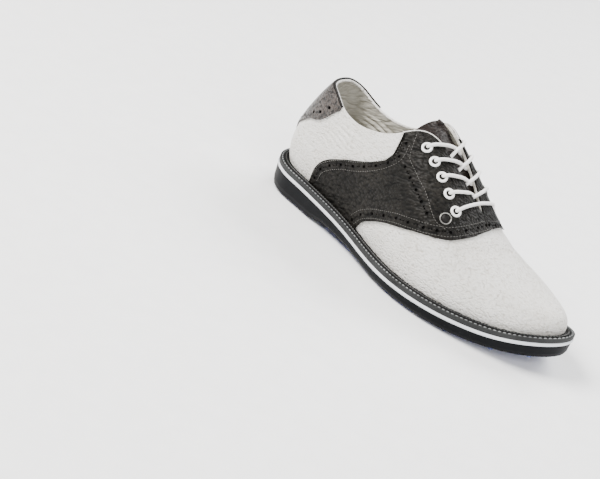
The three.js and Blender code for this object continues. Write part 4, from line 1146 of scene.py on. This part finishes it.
# Studio floor: a board three metres either way
FLOOR_REACH = 3
floor_mesh = bpy.data.meshes.new("studio_floor")
floor_bm = bmesh.new()
bmesh.ops.create_grid(floor_bm, x_segments=1, y_segments=1, size=FLOOR_REACH)
floor_bm.to_mesh(floor_mesh)
floor_bm.free()
floor = bpy.data.objects.new("studio_floor", floor_mesh)
bpy.context.scene.collection.objects.link(floor)
# Painted studio board: pale and matt, so that shadows stay soft on it
floor_board = rubber("pale_studio_board", ("#F4F4F4", "#F8F8F8"), 8, 0.02, 0.7)
floor_mesh.materials.append(floor_board)


# Softboxes aimed at the shoe: name, place and size in metres, watts, colour
LIGHT_AIM = Vector((0, 0, 0.05))
SOFTBOXES = (
    ("key_softbox", (-0.9, -0.9, 1.5), (1.2, 0.9), 100, "#FFFDFA"),
    ("right_softbox", (1.2, -0.7, 0.9), (1.0, 1.0), 26, "#FFFFFF"),
    ("back_softbox", (0.1, 1.3, 1.2), (1.6, 0.8), 56, "#FFFFFF"),
)
for name, place, size, power, colour in SOFTBOXES:
    data = bpy.data.lights.new(name, "AREA")
    data.shape = "RECTANGLE"
    data.size, data.size_y = size
    data.energy = power
    data.color = srgb(colour)[:3]
    lamp = bpy.data.objects.new(name, data)
    bpy.context.scene.collection.objects.link(lamp)
    lamp.location = place
    lamp.rotation_euler = (LIGHT_AIM - Vector(place)).to_track_quat("-Z", "Y").to_euler()
world = bpy.data.worlds.new("studio")
bpy.context.scene.world = world
world.use_nodes = True
world.node_tree.nodes["Background"].inputs["Color"].default_value = srgb("#F4F5F7")
world.node_tree.nodes["Background"].inputs["Strength"].default_value = 0.3

# Camera at the photograph's angle to the shoe: degrees, millimetres, and the focal length in its pixels
AZIMUTH, ELEVATION, ROLL = (math.radians(angle) for angle in (37.016, 25.614, 20.391))
CAMERA_DISTANCE = 1309.823
FOCAL_PIXELS = 1532.997
IMAGE_WIDTH = 600
SENSOR_WIDTH = 36
TARGET = Vector(to_frame((41.057, 0.0, -41.012)))
back = Vector((math.sin(AZIMUTH) * math.cos(ELEVATION), -math.cos(AZIMUTH) * math.cos(ELEVATION),
               math.sin(ELEVATION)))
level = Vector((math.cos(AZIMUTH), math.sin(AZIMUTH), 0))
upright = back.cross(level)
right = level * math.cos(ROLL) + upright * math.sin(ROLL)
up = upright * math.cos(ROLL) - level * math.sin(ROLL)
camera_data = bpy.data.cameras.new("camera")
camera_data.sensor_width = SENSOR_WIDTH
camera_data.lens = FOCAL_PIXELS / IMAGE_WIDTH * SENSOR_WIDTH
camera_data.clip_start, camera_data.clip_end = 0.05, 20
camera = bpy.data.objects.new("camera", camera_data)
bpy.context.scene.collection.objects.link(camera)
turned = Matrix((right, up, back)).transposed().to_4x4()
camera.matrix_world = Matrix.Translation(TARGET + back * CAMERA_DISTANCE * MM) @ turned
bpy.context.scene.camera = camera
